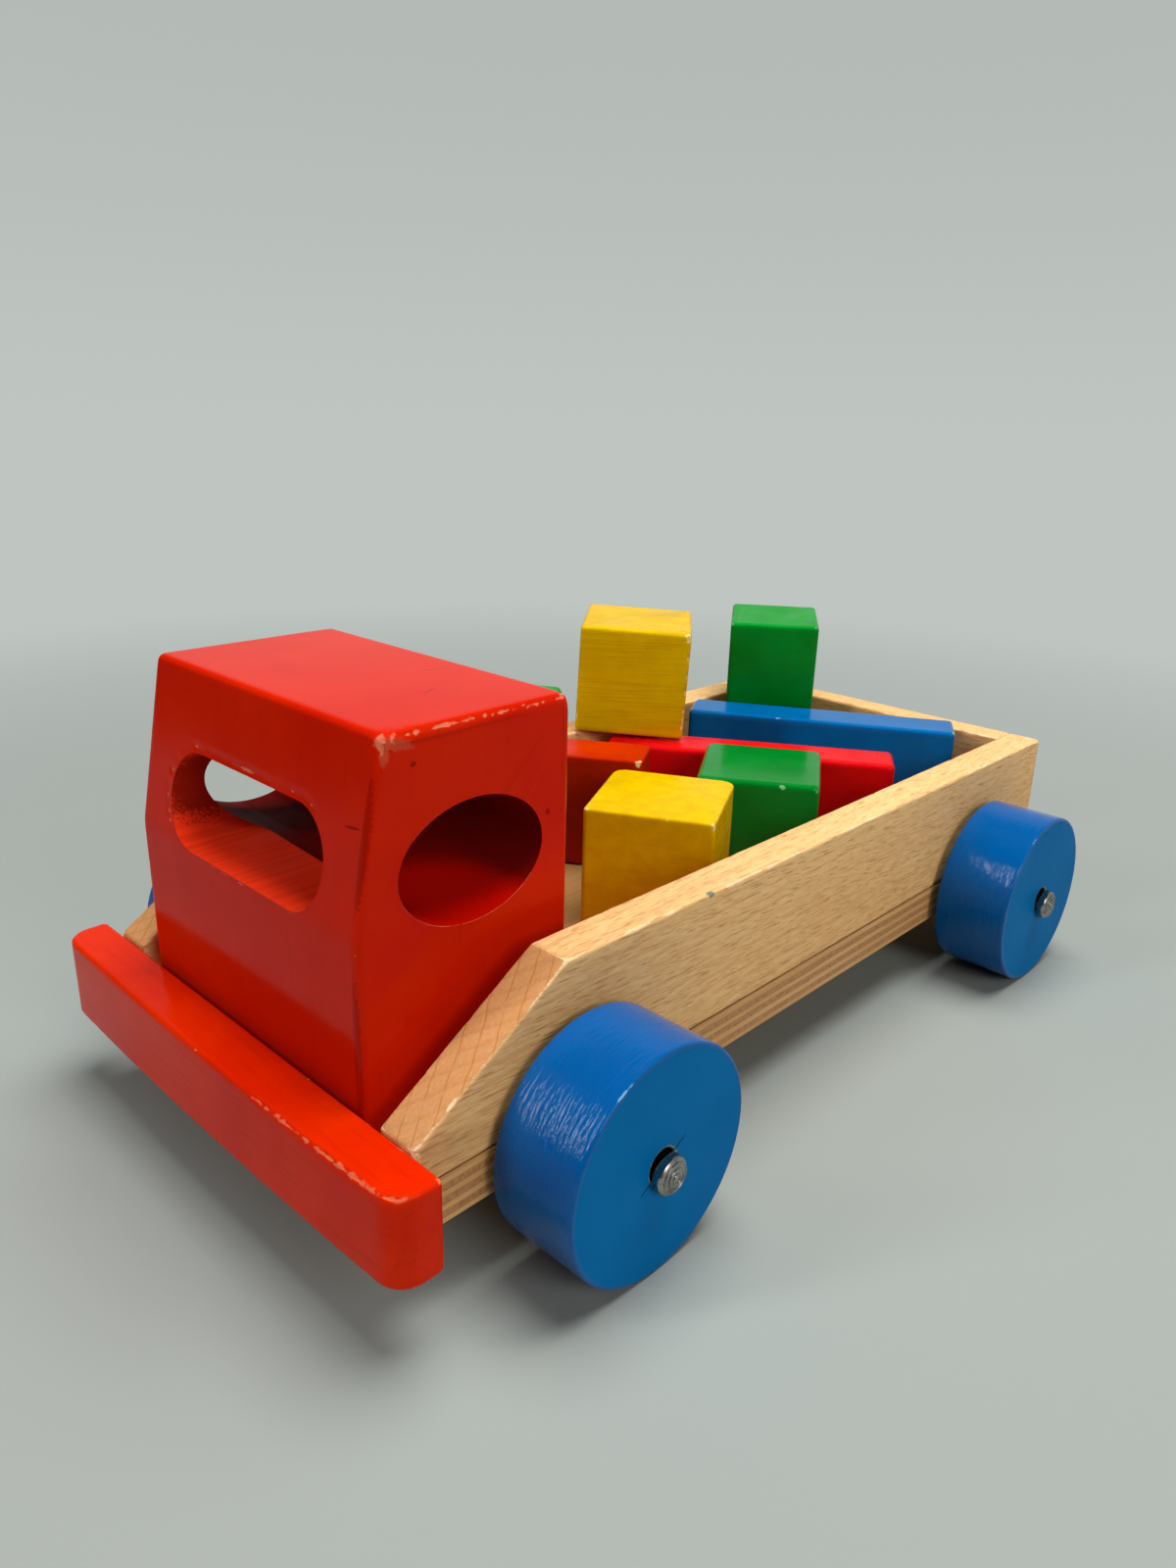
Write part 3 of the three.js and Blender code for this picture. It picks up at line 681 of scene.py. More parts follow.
def plyWood(name, look, lowest, highest):
    material, tree, shader, place = startMaterial(name)
    waver = times(tree, noiseAt(tree, place, look["waverScale"]), look["waver"])
    level = plus(tree, axesOf(tree, place)["Z"], waver)
    layer = addNode(tree, "ShaderNodeMapRange", {"Value": level, "From Min": lowest, "From Max": highest,
                                                 "To Min": 0.0, "To Max": float(look["layers"])}).outputs[0]
    crossLayer = mathNode(tree, "GREATER_THAN", mathNode(tree, "MODULO", layer, 2.0), 1.0)
    along = noiseAt(tree, stretched(tree, place, look["alongStretch"]), 1.0, *look["grainDetail"])
    across = noiseAt(tree, stretched(tree, place, look["acrossStretch"]), 1.0, *look["grainDetail"])
    outer = mixColour(tree, fadeBetween(tree, along, *look["grainFade"]), look["light"], look["dark"])
    inner = mixColour(tree, fadeBetween(tree, across, *look["grainFade"]), look["crossLight"],
                      look["crossDark"])
    colour = mixColour(tree, crossLayer, outer, inner)
    glue = fadeBetween(tree, mathNode(tree, "FRACT", layer), *look["glueFade"])
    glue = times(tree, glue, look["glueInk"])
    colour = mixColour(tree, glue, colour, look["glue"])
    height = minus(tree, along, times(tree, glue, look["glueDepth"]))
    feed(tree, shader, {"Base Color": colour,
                        "Roughness": fadeBetween(tree, along, *look["glossFade"], *look["gloss"]),
                        "Normal": bumpFrom(tree, height, look["bumpStrength"], look["relief"])})
    return material


def makeBase(look):
    low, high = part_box("base_board")
    mesh = frame["nodes"]["base_board"].data.copy()
    shape = bmesh.new()
    shape.from_mesh(mesh)
    bmesh.ops.remove_doubles(shape, verts=shape.verts, dist=sameSpot)
    bmesh.ops.dissolve_limit(shape, angle_limit=math.radians(look["flatAngle"]), verts=shape.verts,
                             edges=shape.edges)
    shape.to_mesh(mesh)
    shape.free()
    holder = newObject("base_board_eased", mesh)
    easeEdges(holder, look["edge"], look["edgeAngle"])
    finished = bakedMesh(holder, "base_board_eased")
    keepAs(finished, "base_board_eased", "truck", ["base_board"],
           plyWood("plywood", look, low.z, high.z))


makeBase(baseLook)
print("base ready")


# Cab: one painted block with a bent front, an oval tunnel and a slot milled into it, worn along its edges
cabLook = {
    "colour": fromScreen(212, 33, 0), "shade": fromScreen(203, 25, 0), "blotchScale": 30.0,
    "grainColour": fromScreen(130, 6, 0), "grainStretch": (700, 700, 45), "grainLow": 0.5, "grainHigh": 0.8,
    "grainInk": 0.1, "grainDepth": 0.25, "relief": 0.04 * mm, "gloss": (0.1, 0.2), "specular": 0.055,
    "worn": fromScreen(226, 112, 84), "wearLow": 0.55, "wearHigh": 0.75,
    "setback": 7 * mm, "bendHeight": 41 * mm, "cornerRadii": millimetres(1.0, 1.0, 16, 1.7, 2.0),
    "sideEdge": 1.5 * mm, "sideRim": 6, "arcSteps": 7, "spacing": 0.9 * mm,
    "rim": 0.4 * mm, "rimAngle": 38, "sharpAngle": 20,
    "windowBack": 7.4 * mm, "windowFront": 9.2 * mm, "windowSill": 36.9 * mm, "windowHeader": 15.4 * mm,
    "windowSteps": 160, "tunnelRise": 2.2 * mm, "tunnelReach": 60 * mm,
    "slotPillar": 12 * mm, "slotSill": 40 * mm, "slotHeader": 16.4 * mm, "slotArcSteps": 40,
    "slotSideSteps": 50, "slotClear": 10 * mm}
cabSlotLook = dict(cabLook, colour=fromScreen(250, 62, 26), shade=fromScreen(244, 52, 18),
                   grainStretch=(30, 800, 800), grainLow=0.42, grainHigh=0.62, grainInk=0.2, grainDepth=0.9,
                   relief=0.25 * mm, gloss=(0.55, 0.7), specular=0.05)
# inside the tunnel the paint is made much darker than the cab, as painted shade inside the hole
cabTunnelShadedLook = dict(cabSlotLook, colour=fromScreen(126, 7, 0), shade=fromScreen(116, 5, 0),
                     grainStretch=(500, 40, 500))
cabWear = {"bendLow": 260, "bendHigh": 620, "broadScale": 55, "smallScale": 380, "wear": -0.02,
           "chipStart": 0.36, "chipDepth": 0.4 * mm, "ripple": 0.16 * mm, "seed": 11, "sharpest": 1300}
# knocks at the near top corner, in millimetres: ahead of it, in, down, reach and depth, then how bare
cornerKnocks = ((0, 0.5, 1.5, 3.8, 0.6, 1.4), (-2.5, 0.3, 0.8, 3.2, 0.35, 1.3),
                (-6, 0.2, 1.0, 2.4, 0.4, 1.2), (0.6, 0.4, 4, 2.6, 0.3, 1.2))
# a pale line round most of the oval window's near rim, mostly its lower half: partly wear and partly a
# painted highlight on the rounded rim
rimWearAndHighlight = {"turns": range(215, 405, 5), "reach": 1.4 * mm, "depth": 0.08 * mm, "bare": 2.0}
roofRow = {"steps": range(2, 47), "step": 0.9, "reach": 1.05 * mm, "growth": 0.4 * mm, "tear": 0.9 * mm,
           "depth": 0.2 * mm, "bare": 1.15}


def cabPaints(look, low, high):
    # places are given by how far in from the near side and down from the roof they lie
    def near(x, inward, down):
        return (x, high.y - inward * mm, high.z - down * mm)

    frontTop = high.x - look["setback"]
    tilt = math.atan2(look["setback"], high.z - low.z - look["bendHeight"])
    # dark strips along the near front edge, below and above the bend, are a painted dark reflection in its
    # rounding
    darkEdgeReflection = {"colour": fromScreen(146, 14, 0), "ink": 0.6}
    bareTone = {"colour": fromScreen(202, 84, 56), "ink": 0.6}
    nicks = (
        {"at": near(low.x + 37.6 * mm, 0, 6.2), "size": millimetres(0.7, 0.7, 0.6)},
        {"at": near(low.x + 5.9 * mm, 0, 22.8), "size": millimetres(0.7, 0.6, 0.8)},
        {"at": near(high.x - 3.7 * mm, 4.9, 16.7), "size": millimetres(1.5, 2.6, 0.35), "turn": (0.15, 0, 0)},
        {"at": (high.x, high.y - 1.3 * mm, low.z + 17 * mm), "size": millimetres(1.8, 1.1, 21), **darkEdgeReflection},
        {"at": near(high.x - 3.4 * mm, 1.3, 19), "size": millimetres(1.8, 1.1, 15), "turn": (0, -tilt, 0),
         **darkEdgeReflection},
        {"at": near(low.x + 20 * mm, 18, 0), "size": millimetres(3.4, 0.3, 0.5), "turn": (0, 0, 0.5),
         "ink": 0.45},
        {"at": near(low.x + 9 * mm, 31, 0), "size": millimetres(4.2, 0.3, 0.5), "turn": (0, 0, -0.25),
         "ink": 0.4},
        {"at": near(frontTop - 2.8 * mm, 0, 2.0), "size": millimetres(4.2, 1.0, 1.5), "turn": (0, -0.3, 0),
         **bareTone},
        {"at": near(frontTop - 0.2 * mm, 0, 3.2), "size": millimetres(1.6, 1.0, 2.8), "turn": (0, -tilt, 0),
         **bareTone})
    farSlotEnd = look["slotPillar"] - high.y
    # the far end of the slot is painted darker, as painted shade deep in the slot
    slotEndPaintedShade = {"at": (high.x - 14 * mm, farSlotEnd - 1 * mm, high.z - look["slotHeader"] - 8 * mm),
                 "size": millimetres(22, 8, 13), "colour": fromScreen(120, 10, 2), "ink": 0.75}
    # a lighter patch on the tunnel floor by the near opening is painted light falling in through it
    tunnelFloorLight = {"at": ((low.x + high.x) / 2, high.y - 6 * mm, low.z + look["windowSill"] - 1 * mm),
                   "size": millimetres(24, 30, 8), "colour": fromScreen(206, 10, 0), "ink": 0.9,
                   "ragged": 0.05}
    return (paintedWood("cabPaint", dict(look, nicks=nicks)),
            paintedWood("cabTunnelShadedPaint", dict(cabTunnelShadedLook, nicks=(tunnelFloorLight,))),
            paintedWood("cabSlotPaint", dict(cabSlotLook, nicks=(slotEndPaintedShade,))))


def prismAlong(name, outline, start, end, toPlace, paint, paints):
    # a cutter: an outline drawn out along a third direction, that leaves its own paint on what it cuts
    around = len(outline)
    points = [toPlace(a, b, c) for c in (start, end) for a, b in outline]
    faces = ringQuads(2, around) + [tuple(range(around - 1, -1, -1)), tuple(range(around, 2 * around))]
    mesh = meshFrom(name, points, faces)
    faceOutward(mesh)
    for material in paints:
        mesh.materials.append(material)
    mesh.polygons.foreach_set("material_index", np.full(len(mesh.polygons), paint, np.int32))
    return newObject(name, mesh)


def slotOutline(look, low, high):
    # two half rounds joined by straight sides, across and up
    slotLow, slotHigh = low.z + look["slotSill"], high.z - look["slotHeader"]
    middle, bend = (slotLow + slotHigh) / 2, (slotHigh - slotLow) / 2
    straight = high.y - look["slotPillar"] - bend
    arcSteps, sideSteps = look["slotArcSteps"], look["slotSideSteps"]
    outline = []
    for side, begin in ((1, -90), (-1, 90)):
        turns = [math.radians(begin + 180 * k / arcSteps) for k in range(arcSteps + 1)]
        outline += [(side * straight + bend * math.cos(a), middle + bend * math.sin(a)) for a in turns]
        outline += [(side * straight * (1 - 2 * k / sideSteps), middle + side * bend)
                    for k in range(1, sideSteps)]
    return outline


def makeCab(look):
    low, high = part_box("cab_block")
    frontTop = high.x - look["setback"]
    corners = [(low.x, low.z), (high.x, low.z), (high.x, low.z + look["bendHeight"]),
               (frontTop, high.z), (low.x, high.z)]
    points, faces = easedSlab(corners, look["cornerRadii"], -high.y, -low.y, look["sideEdge"],
                              look["spacing"], look["sideRim"], look["arcSteps"])
    block = newObject("cab_block_worn", meshFrom("cab_block_worn", fromSideView(points), faces))
    paints = cabPaints(look, low, high)
    for material in paints:
        block.data.materials.append(material)

    windowLow, windowHigh = low.x + look["windowBack"], high.x - look["windowFront"]
    sill, header = low.z + look["windowSill"], high.z - look["windowHeader"]
    middleX, middleZ = (windowLow + windowHigh) / 2, (sill + header) / 2
    reachX, reachZ = (windowHigh - windowLow) / 2, (header - sill) / 2
    oval = [(middleX + reachX * c, middleZ + reachZ * s) for c, s in onCircle(look["windowSteps"])]

    def acrossCab(a, b, c):
        # the tunnel was drilled a little out of level, higher on the far side
        return (a, c, b + look["tunnelRise"] * (high.y - c) / (2 * high.y))

    tunnel = prismAlong("sideTunnel", oval, -look["tunnelReach"], look["tunnelReach"], acrossCab, 1, paints)
    slot = prismAlong("screenSlot", slotOutline(look, low, high), middleX, high.x + look["slotClear"],
                      lambda a, b, c: (c, a, b), 2, paints)
    for cutter in (tunnel, slot):
        cut = block.modifiers.new(cutter.name, "BOOLEAN")
        cut.operation = "DIFFERENCE"
        cut.solver = "EXACT"
        cut.object = cutter
    easeEdges(block, look["rim"], look["rimAngle"])
    mesh = bakedMesh(block, "cab_block_worn")
    for cutter in (tunnel, slot):
        bpy.data.objects.remove(cutter)

    knocks = [{"at": (frontTop + ahead * mm, high.y - inward * mm, high.z - down * mm), "reach": reach * mm,
               "depth": depth * mm, "bare": bare} for ahead, inward, down, reach, depth, bare in cornerKnocks]
    knocks.append({"at": (low.x + 1.0 * mm, high.y - 1.0 * mm, high.z - 1.0 * mm), "reach": 2.6 * mm,
                   "depth": 0.5 * mm, "bare": 1.4})
    for turn in map(math.radians, rimWearAndHighlight["turns"]):
        spot = (middleX + reachX * math.cos(turn), high.y, middleZ + reachZ * math.sin(turn))
        knocks.append(dict(rimWearAndHighlight, at=spot))
    roofEdge = [(low.x + k * roofRow["step"] * mm, high.y - 0.25 * mm, high.z - 0.8 * mm)
                for k in roofRow["steps"]]
    knocks += raggedRow(roofEdge, roofRow["reach"], roofRow["growth"], roofRow["tear"], roofRow["depth"],
                        roofRow["bare"])
    wearEdges(mesh, dict(cabWear, knocks=knocks))
    mesh.set_sharp_from_angle(angle=math.radians(look["sharpAngle"]))
    keepAs(mesh, "cab_block_worn", "truck", ["cab_block"])


makeCab(cabLook)
print("cab ready")


# Bumper: a bar with round corners and a slight bow
bumperLook = {
    "colour": fromScreen(224, 42, 0), "shade": fromScreen(214, 32, 0), "blotchScale": 40.0,
    "grainColour": fromScreen(156, 16, 0), "grainStretch": (700, 45, 700), "grainLow": 0.48, "grainHigh": 0.8,
    "grainInk": 0.3, "grainDepth": 0.35, "relief": 0.09 * mm, "gloss": (0.1, 0.22), "specular": 0.065,
    "worn": fromScreen(238, 104, 68), "wearLow": 0.45, "wearHigh": 0.7,
    "bow": 1.2 * mm, "corner": 5.5 * mm, "backCorner": 1.1 * mm, "edge": 0.8 * mm, "spacing": 1.0 * mm,
    "arcSteps": 10}
bumperWear = {"bendLow": 300, "bendHigh": 900, "broadScale": 60, "smallScale": 640, "wear": -0.04,
              "chipStart": 0.46, "chipDepth": 0.3 * mm, "ripple": 0.2 * mm, "seed": 17}
# where the splinters begin and end across the bar and how far apart they are, in millimetres
splinterRow = {"across": (22, 63.6, 0.68), "down": 0.3 * mm, "reach": 0.8 * mm, "growth": 0.9 * mm,
               "tear": 0.8 * mm, "depth": 0.25 * mm, "bare": 1.3}


def makeBumper(look, row):
    low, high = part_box("bumper")
    front = high.x - look["bow"]
    small, large = look["backCorner"], look["corner"]
    corners = [(low.x, low.y), (front, low.y), (front, high.y), (low.x, high.y)]
    points, faces = easedSlab(corners, [small, large, large, small], low.z, high.z, look["edge"],
                              look["spacing"], arcSteps=look["arcSteps"])
    share = (points[:, 0] - low.x) / (front - low.x)
    points[:, 0] += look["bow"] * share * (1 - (points[:, 1] / high.y) ** 2)
    mesh = meshFrom("bumper_worn", points, faces)
    # the front edge is splintered towards the left end of the truck
    splintered = []
    for y in np.arange(*row["across"]) * mm:
        turned = max(0.0, y - (high.y - large))
        bowed = front + look["bow"] * (1 - (y / high.y) ** 2)
        splintered.append((bowed - large + math.sqrt(large ** 2 - turned ** 2), y, high.z - row["down"]))
    splinters = raggedRow(splintered, row["reach"], row["growth"], row["tear"], row["depth"], row["bare"])
    wearEdges(mesh, dict(bumperWear, knocks=splinters))
    keepAs(mesh, "bumper_worn", "truck", ["bumper"], paintedWood("bumperPaint", look))


makeBumper(bumperLook, splinterRow)
print("bumper ready")


# Geometry node helpers
def startTree(name, **inputs):
    # a tree with named inputs, given as lists of labels under the kind of socket that they take
    tree = bpy.data.node_groups.new(name, "GeometryNodeTree")
    tree.interface.new_socket("Geometry", in_out="INPUT", socket_type="NodeSocketGeometry")
    for kind, labels in inputs.items():
        for label in labels:
            tree.interface.new_socket(label, in_out="INPUT", socket_type="NodeSocket" + kind)
    tree.interface.new_socket("Geometry", in_out="OUTPUT", socket_type="NodeSocketGeometry")
    return tree, addNode(tree, "NodeGroupInput").outputs


def endTree(tree, shape, material):
    smooth = addNode(tree, "GeometryNodeSetShadeSmooth", {"Geometry": shape})
    real = addNode(tree, "GeometryNodeRealizeInstances", {"Geometry": smooth.outputs[0]})
    painted = addNode(tree, "GeometryNodeSetMaterial", {"Geometry": real.outputs[0], "Material": material})
    addNode(tree, "NodeGroupOutput", {0: painted.outputs[0]})


def bakeTree(tree, name, values):
    # runs a node tree on an empty mesh and keeps the result as a plain mesh
    holder = newObject(name, bpy.data.meshes.new(name))
    modifier = holder.modifiers.new("shape", "NODES")
    modifier.node_group = tree
    for item in tree.interface.items_tree:
        if item.item_type == "SOCKET" and item.in_out == "INPUT" and item.name in values:
            modifier[item.identifier] = values[item.name]
    return bakedMesh(holder, name)


def circleCurve(tree, steps, radius):
    circle = addNode(tree, "GeometryNodeCurvePrimitiveCircle", {"Resolution": steps, "Radius": radius},
                     mode="RADIUS")
    return circle.outputs[0]


# Wheels: turned discs, each swept round its hub by one node tree
wheelLook = {
    "colour": fromScreen(0, 88, 158), "shade": fromScreen(0, 82, 148),
    "face": fromScreen(0, 112, 176), "faceShade": fromScreen(0, 107, 169), "faceInset": millimetres(0.4, 1.2),
    "blotchScale": 45.0, "blotchDetail": 3.0, "blotchFade": (0.3, 0.75),
    "glossFade": (0.3, 0.8), "gloss": (0.12, 0.17), "faceMatt": 0.35, "specular": 0.22, "faceSpecular": 0.03,
    "markLength": 5.5, "markWidth": 1400.0, "markDetail": 1.5, "faceSmooth": 0.9,
    "pebbleScale": 1700.0, "pebble": 0.2, "bumpStrength": 0.8, "relief": 0.2 * mm,
    "chip": fromScreen(124, 180, 218), "chipInk": 0.8, "chipScale": 700.0, "wearLow": 0.5, "wearHigh": 0.75,
    "rubbed": fromScreen(168, 178, 164), "rubInk": 0.85, "rubScale": 700.0, "rubDetail": 3.0,
    "rubTear": 0.9 * mm, "rubReach": millimetres(1.2, 0.7),
    "boreShadeAndCrack": fromScreen(22, 18, 14), "boreShadeReach": millimetres(0.12, -0.05),
    "splitLean": (0.517, 0.856), "splitReach": millimetres(7.5, 6.0), "splitTear": 0.4 * mm,
    "splitWidth": millimetres(0.22, 0.08), "splitDepth": 3.0,
    "bore": 3.5 * mm, "edge": 0.6 * mm, "edgeSteps": 5, "around": 168, "cuts": 16,
    "waver": 0.006 * mm, "waverScale": 90.0, "merge": 0.01 * mm}
wheelSplits = {"front_wheel_left": 0.9, "front_wheel_right": 0.0, "rear_wheel_left": 0.0,
               "rear_wheel_right": 0.0}
wheelWear = {"bendLow": 500, "bendHigh": 1600, "broadScale": 70, "smallScale": 700, "wear": -0.36,
             "chipStart": 0.62, "chipDepth": 0.15 * mm}
wheelFirstSeed = 21
# a pale rub on the rim of the left wheels, partly wear and partly a painted highlight
wheelRimRubAndHighlight = {"turns": range(44, 74, 2), "reach": 0.75 * mm, "depth": 0.03 * mm, "bare": 1.5}


def wheelPaint(name, look, centre, radiusOut, splitInk):
    material, tree, shader, place = startMaterial(name)
    towards = tuple(-c for c in centre)
    own = addNode(tree, "ShaderNodeMapping", {"Vector": place, "Location": towards}).outputs[0]
    axes = axesOf(tree, own)
    squares = [mathNode(tree, "POWER", axes[axis], 2.0) for axis in "XZ"]
    radius = mathNode(tree, "SQRT", plus(tree, *squares))
    angle = mathNode(tree, "ARCTAN2", axes["Z"], axes["X"])
    onFace = fadeBetween(tree, radius, *(radiusOut - inset for inset in look["faceInset"]))
    # brush marks run round the tread, so they are drawn on angle and depth
    unrolled = addNode(tree, "ShaderNodeCombineXYZ", {0: times(tree, angle, look["markLength"]),
                                                      1: times(tree, axes["Y"], look["markWidth"])})
    marks = noiseAt(tree, unrolled.outputs[0], 1.0, look["markDetail"])
    pebble = noiseAt(tree, own, look["pebbleScale"])
    blotch = noiseAt(tree, own, look["blotchScale"], look["blotchDetail"])
    blotched = fadeBetween(tree, blotch, *look["blotchFade"])
    tread = mixColour(tree, blotched, look["colour"], look["shade"])
    face = mixColour(tree, blotched, look["face"], look["faceShade"])
    colour = mixColour(tree, onFace, tread, face)
    worn = wearMask(tree, place, look["chipScale"], look["wearLow"], look["wearHigh"])
    colour = mixColour(tree, times(tree, worn, look["chipInk"]), colour, look["chip"])
    # paint rubbed pale round the hole, and painted shade darkening the inside of the hole
    ragged = times(tree, noiseAt(tree, own, look["rubScale"], look["rubDetail"]), look["rubTear"])
    rub = fadeBetween(tree, plus(tree, radius, ragged), *(look["bore"] + out for out in look["rubReach"]))
    colour = mixColour(tree, times(tree, rub, look["rubInk"]), colour, look["rubbed"])
    boreShadeAndCrack = fadeBetween(tree, radius, *(look["bore"] + out for out in look["boreShadeReach"]))
    colour = mixColour(tree, boreShadeAndCrack, colour, look["boreShadeAndCrack"])
    # the split below is drawn in the same dark colour as the shade in the hole
    # a fine split in the wood, both ways from the hole
    leanX, leanZ = look["splitLean"]
    lean = plus(tree, times(tree, axes["X"], leanX), times(tree, axes["Z"], leanZ))
    lean = plus(tree, lean, times(tree, offMiddle(tree, pebble), look["splitTear"]))
    crack = fadeBetween(tree, mathNode(tree, "ABSOLUTE", lean), *look["splitWidth"])
    crack = times(tree, crack, fadeBetween(tree, radius, *look["splitReach"]))
    crack = times(tree, crack, onFace)
    colour = mixColour(tree, times(tree, crack, splitInk), colour, look["boreShadeAndCrack"])
    gloss = fadeBetween(tree, blotch, *look["glossFade"], *look["gloss"])
    rough = times(tree, marks, minus(tree, 1.0, times(tree, onFace, look["faceSmooth"])))
    height = plus(tree, rough, times(tree, pebble, look["pebble"]))
    height = minus(tree, height, times(tree, crack, splitInk * look["splitDepth"]))
    specular = fadeBetween(tree, onFace, 0.0, 1.0, look["specular"], look["faceSpecular"])
    feed(tree, shader, {"Base Color": colour,
                        "Roughness": plus(tree, gloss, times(tree, onFace, look["faceMatt"])),
                        "Normal": bumpFrom(tree, height, look["bumpStrength"], look["relief"]),
                        "Specular IOR Level": specular})
    return material


def wheelTree(look):
    sizes = ("Radius", "Bore Radius", "Thickness", "Edge Radius", "Waver")
    tree, given = startTree("turnedWheel", Float=sizes, Vector=("Centre",), Material=("Paint",))
    radius, bore = given["Radius"], given["Bore Radius"]
    path = circleCurve(tree, look["around"], times(tree, plus(tree, radius, bore), 0.5))
    level = addNode(tree, "GeometryNodeSetCurveNormal", {"Curve": path}, mode="Z_UP")
    section = addNode(tree, "GeometryNodeCurvePrimitiveQuadrilateral",
                      {"Width": minus(tree, radius, bore), "Height": given["Thickness"]})
    section = addNode(tree, "GeometryNodeSubdivideCurve", {"Curve": section.outputs[0], "Cuts": look["cuts"]})
    section = addNode(tree, "GeometryNodeFilletCurve",
                      {"Curve": section.outputs[0], "Count": look["edgeSteps"],
                       "Radius": given["Edge Radius"], "Limit Radius": True}, mode="POLY")
    disc = addNode(tree, "GeometryNodeCurveToMesh",
                   {"Curve": level.outputs[0], "Profile Curve": section.outputs[0]})
    # the fillet leaves doubled points along the straight sides
    merged = addNode(tree, "GeometryNodeMergeByDistance",
                     {"Geometry": disc.outputs[0], "Distance": look["merge"]})
    turned = addNode(tree, "GeometryNodeTransform",
                     {"Geometry": merged.outputs[0], "Rotation": (math.pi / 2, 0, 0),
                      "Translation": given["Centre"]})
    uneven = addNode(tree, "ShaderNodeTexNoise", {"Scale": look["waverScale"], "Detail": 2.0})
    amount = times(tree, offMiddle(tree, uneven.outputs[0]), given["Waver"])
    outward = addNode(tree, "GeometryNodeInputNormal")
    push = addNode(tree, "ShaderNodeVectorMath", {0: outward.outputs[0], "Scale": amount}, operation="SCALE")
    shaped = addNode(tree, "GeometryNodeSetPosition",
                     {"Geometry": turned.outputs[0], "Offset": push.outputs[0]})
    endTree(tree, shaped.outputs[0], given["Paint"])
    return tree


def makeWheels(look):
    tree = wheelTree(look)
    for seed, (node, splitInk) in enumerate(wheelSplits.items(), wheelFirstSeed):
        low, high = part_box(node)
        centre = (low + high) / 2
        radius = (high.z - low.z) / 2
        paint = wheelPaint(node + "_paint", look, centre, radius, splitInk)
        mesh = bakeTree(tree, node + "_turned", {
            "Radius": radius, "Bore Radius": look["bore"], "Thickness": high.y - low.y,
            "Edge Radius": look["edge"], "Waver": look["waver"], "Centre": tuple(centre), "Paint": paint})
        faceOutward(mesh)
        # paint rubbed pale on part of the rim on the outer side of the left wheels, partly wear and partly a
        # painted highlight where the rim catches the light
        rimRubsAndHighlight = []
        for turn in map(math.radians, wheelRimRubAndHighlight["turns"] if node.endswith("left") else ()):
            spot = (centre.x + radius * math.cos(turn), high.y, centre.z + radius * math.sin(turn))
            rimRubsAndHighlight.append(dict(wheelRimRubAndHighlight, at=spot))
        wearEdges(mesh, dict(wheelWear, seed=seed, knocks=rimRubsAndHighlight))
        keepAs(mesh, node + "_turned", bodyOf(node), [node], paint)


makeWheels(wheelLook)
print("wheels ready")


# Axles, their domed caps with plain rings, and the screws under the cab
steelLook = {"colour": fromScreen(160, 158, 153), "stain": fromScreen(112, 108, 103), "stainScale": 420.0,
             "stainDetail": (4.0, 0.6), "stainFade": (0.4, 0.75), "glossFade": (0.3, 0.8),
             "gloss": (0.22, 0.45), "fineScale": 2200.0, "bumpStrength": 0.15, "relief": 0.1 * mm}
capLook = {"straight": 1.5 * mm, "dome": 1.5 * mm, "domeSteps": 12, "around": 64, "lip": 0.35 * mm,
           "ringRadii": millimetres(1.0, 2.0, 3.0), "ringAround": 48, "ringWire": 0.2 * mm, "wireAround": 8}


def platedSteel(name, look):
    material, tree, shader, place = startMaterial(name)
    stain = noiseAt(tree, place, look["stainScale"], *look["stainDetail"])
    colour = mixColour(tree, fadeBetween(tree, stain, *look["stainFade"]), look["colour"], look["stain"])
    fine = noiseAt(tree, place, look["fineScale"])
    feed(tree, shader, {"Base Color": colour, "Metallic": 1.0,
                        "Roughness": fadeBetween(tree, stain, *look["glossFade"], *look["gloss"]),
                        "Normal": bumpFrom(tree, fine, look["bumpStrength"], look["relief"])})
    return material


def capSeat(node):
    # the middle of the face that sits on the wheel, the side that the cap looks to, and its radius
    low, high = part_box(node)
    side = 1 if high.y > 0 else -1
    seat = Vector(((low.x + high.x) / 2, low.y if side > 0 else high.y, (low.z + high.z) / 2))
    return seat, side, (high.z - low.z) / 2


def domeHeight(share):
    # the height of the dome over the seat at a share of its radius
    return capLook["straight"] + capLook["dome"] * math.sqrt(1 - share * share)


def capBody(look, seat, side, radius):
    profile = [(radius - look["lip"], 0.0), (radius, look["lip"]), (radius, look["straight"])]
    shares = [math.cos(k / look["domeSteps"] * math.pi / 2) for k in range(1, look["domeSteps"])]
    profile += [(radius * share, domeHeight(share)) for share in shares]
    around = look["around"]
    points = []
    for r, h in profile:
        points.extend((seat.x + r * c, seat.y + side * h, seat.z + r * s) for c, s in onCircle(around))
    tip = len(points)
    points.append((seat.x, seat.y + side * domeHeight(0), seat.z))
    faces = ringQuads(len(profile), around)
    last = tip - around
    faces += [(last + k, last + (k + 1) % around, tip) for k in range(around)]
    faces.append(tuple(range(around - 1, -1, -1)))
    return points, faces


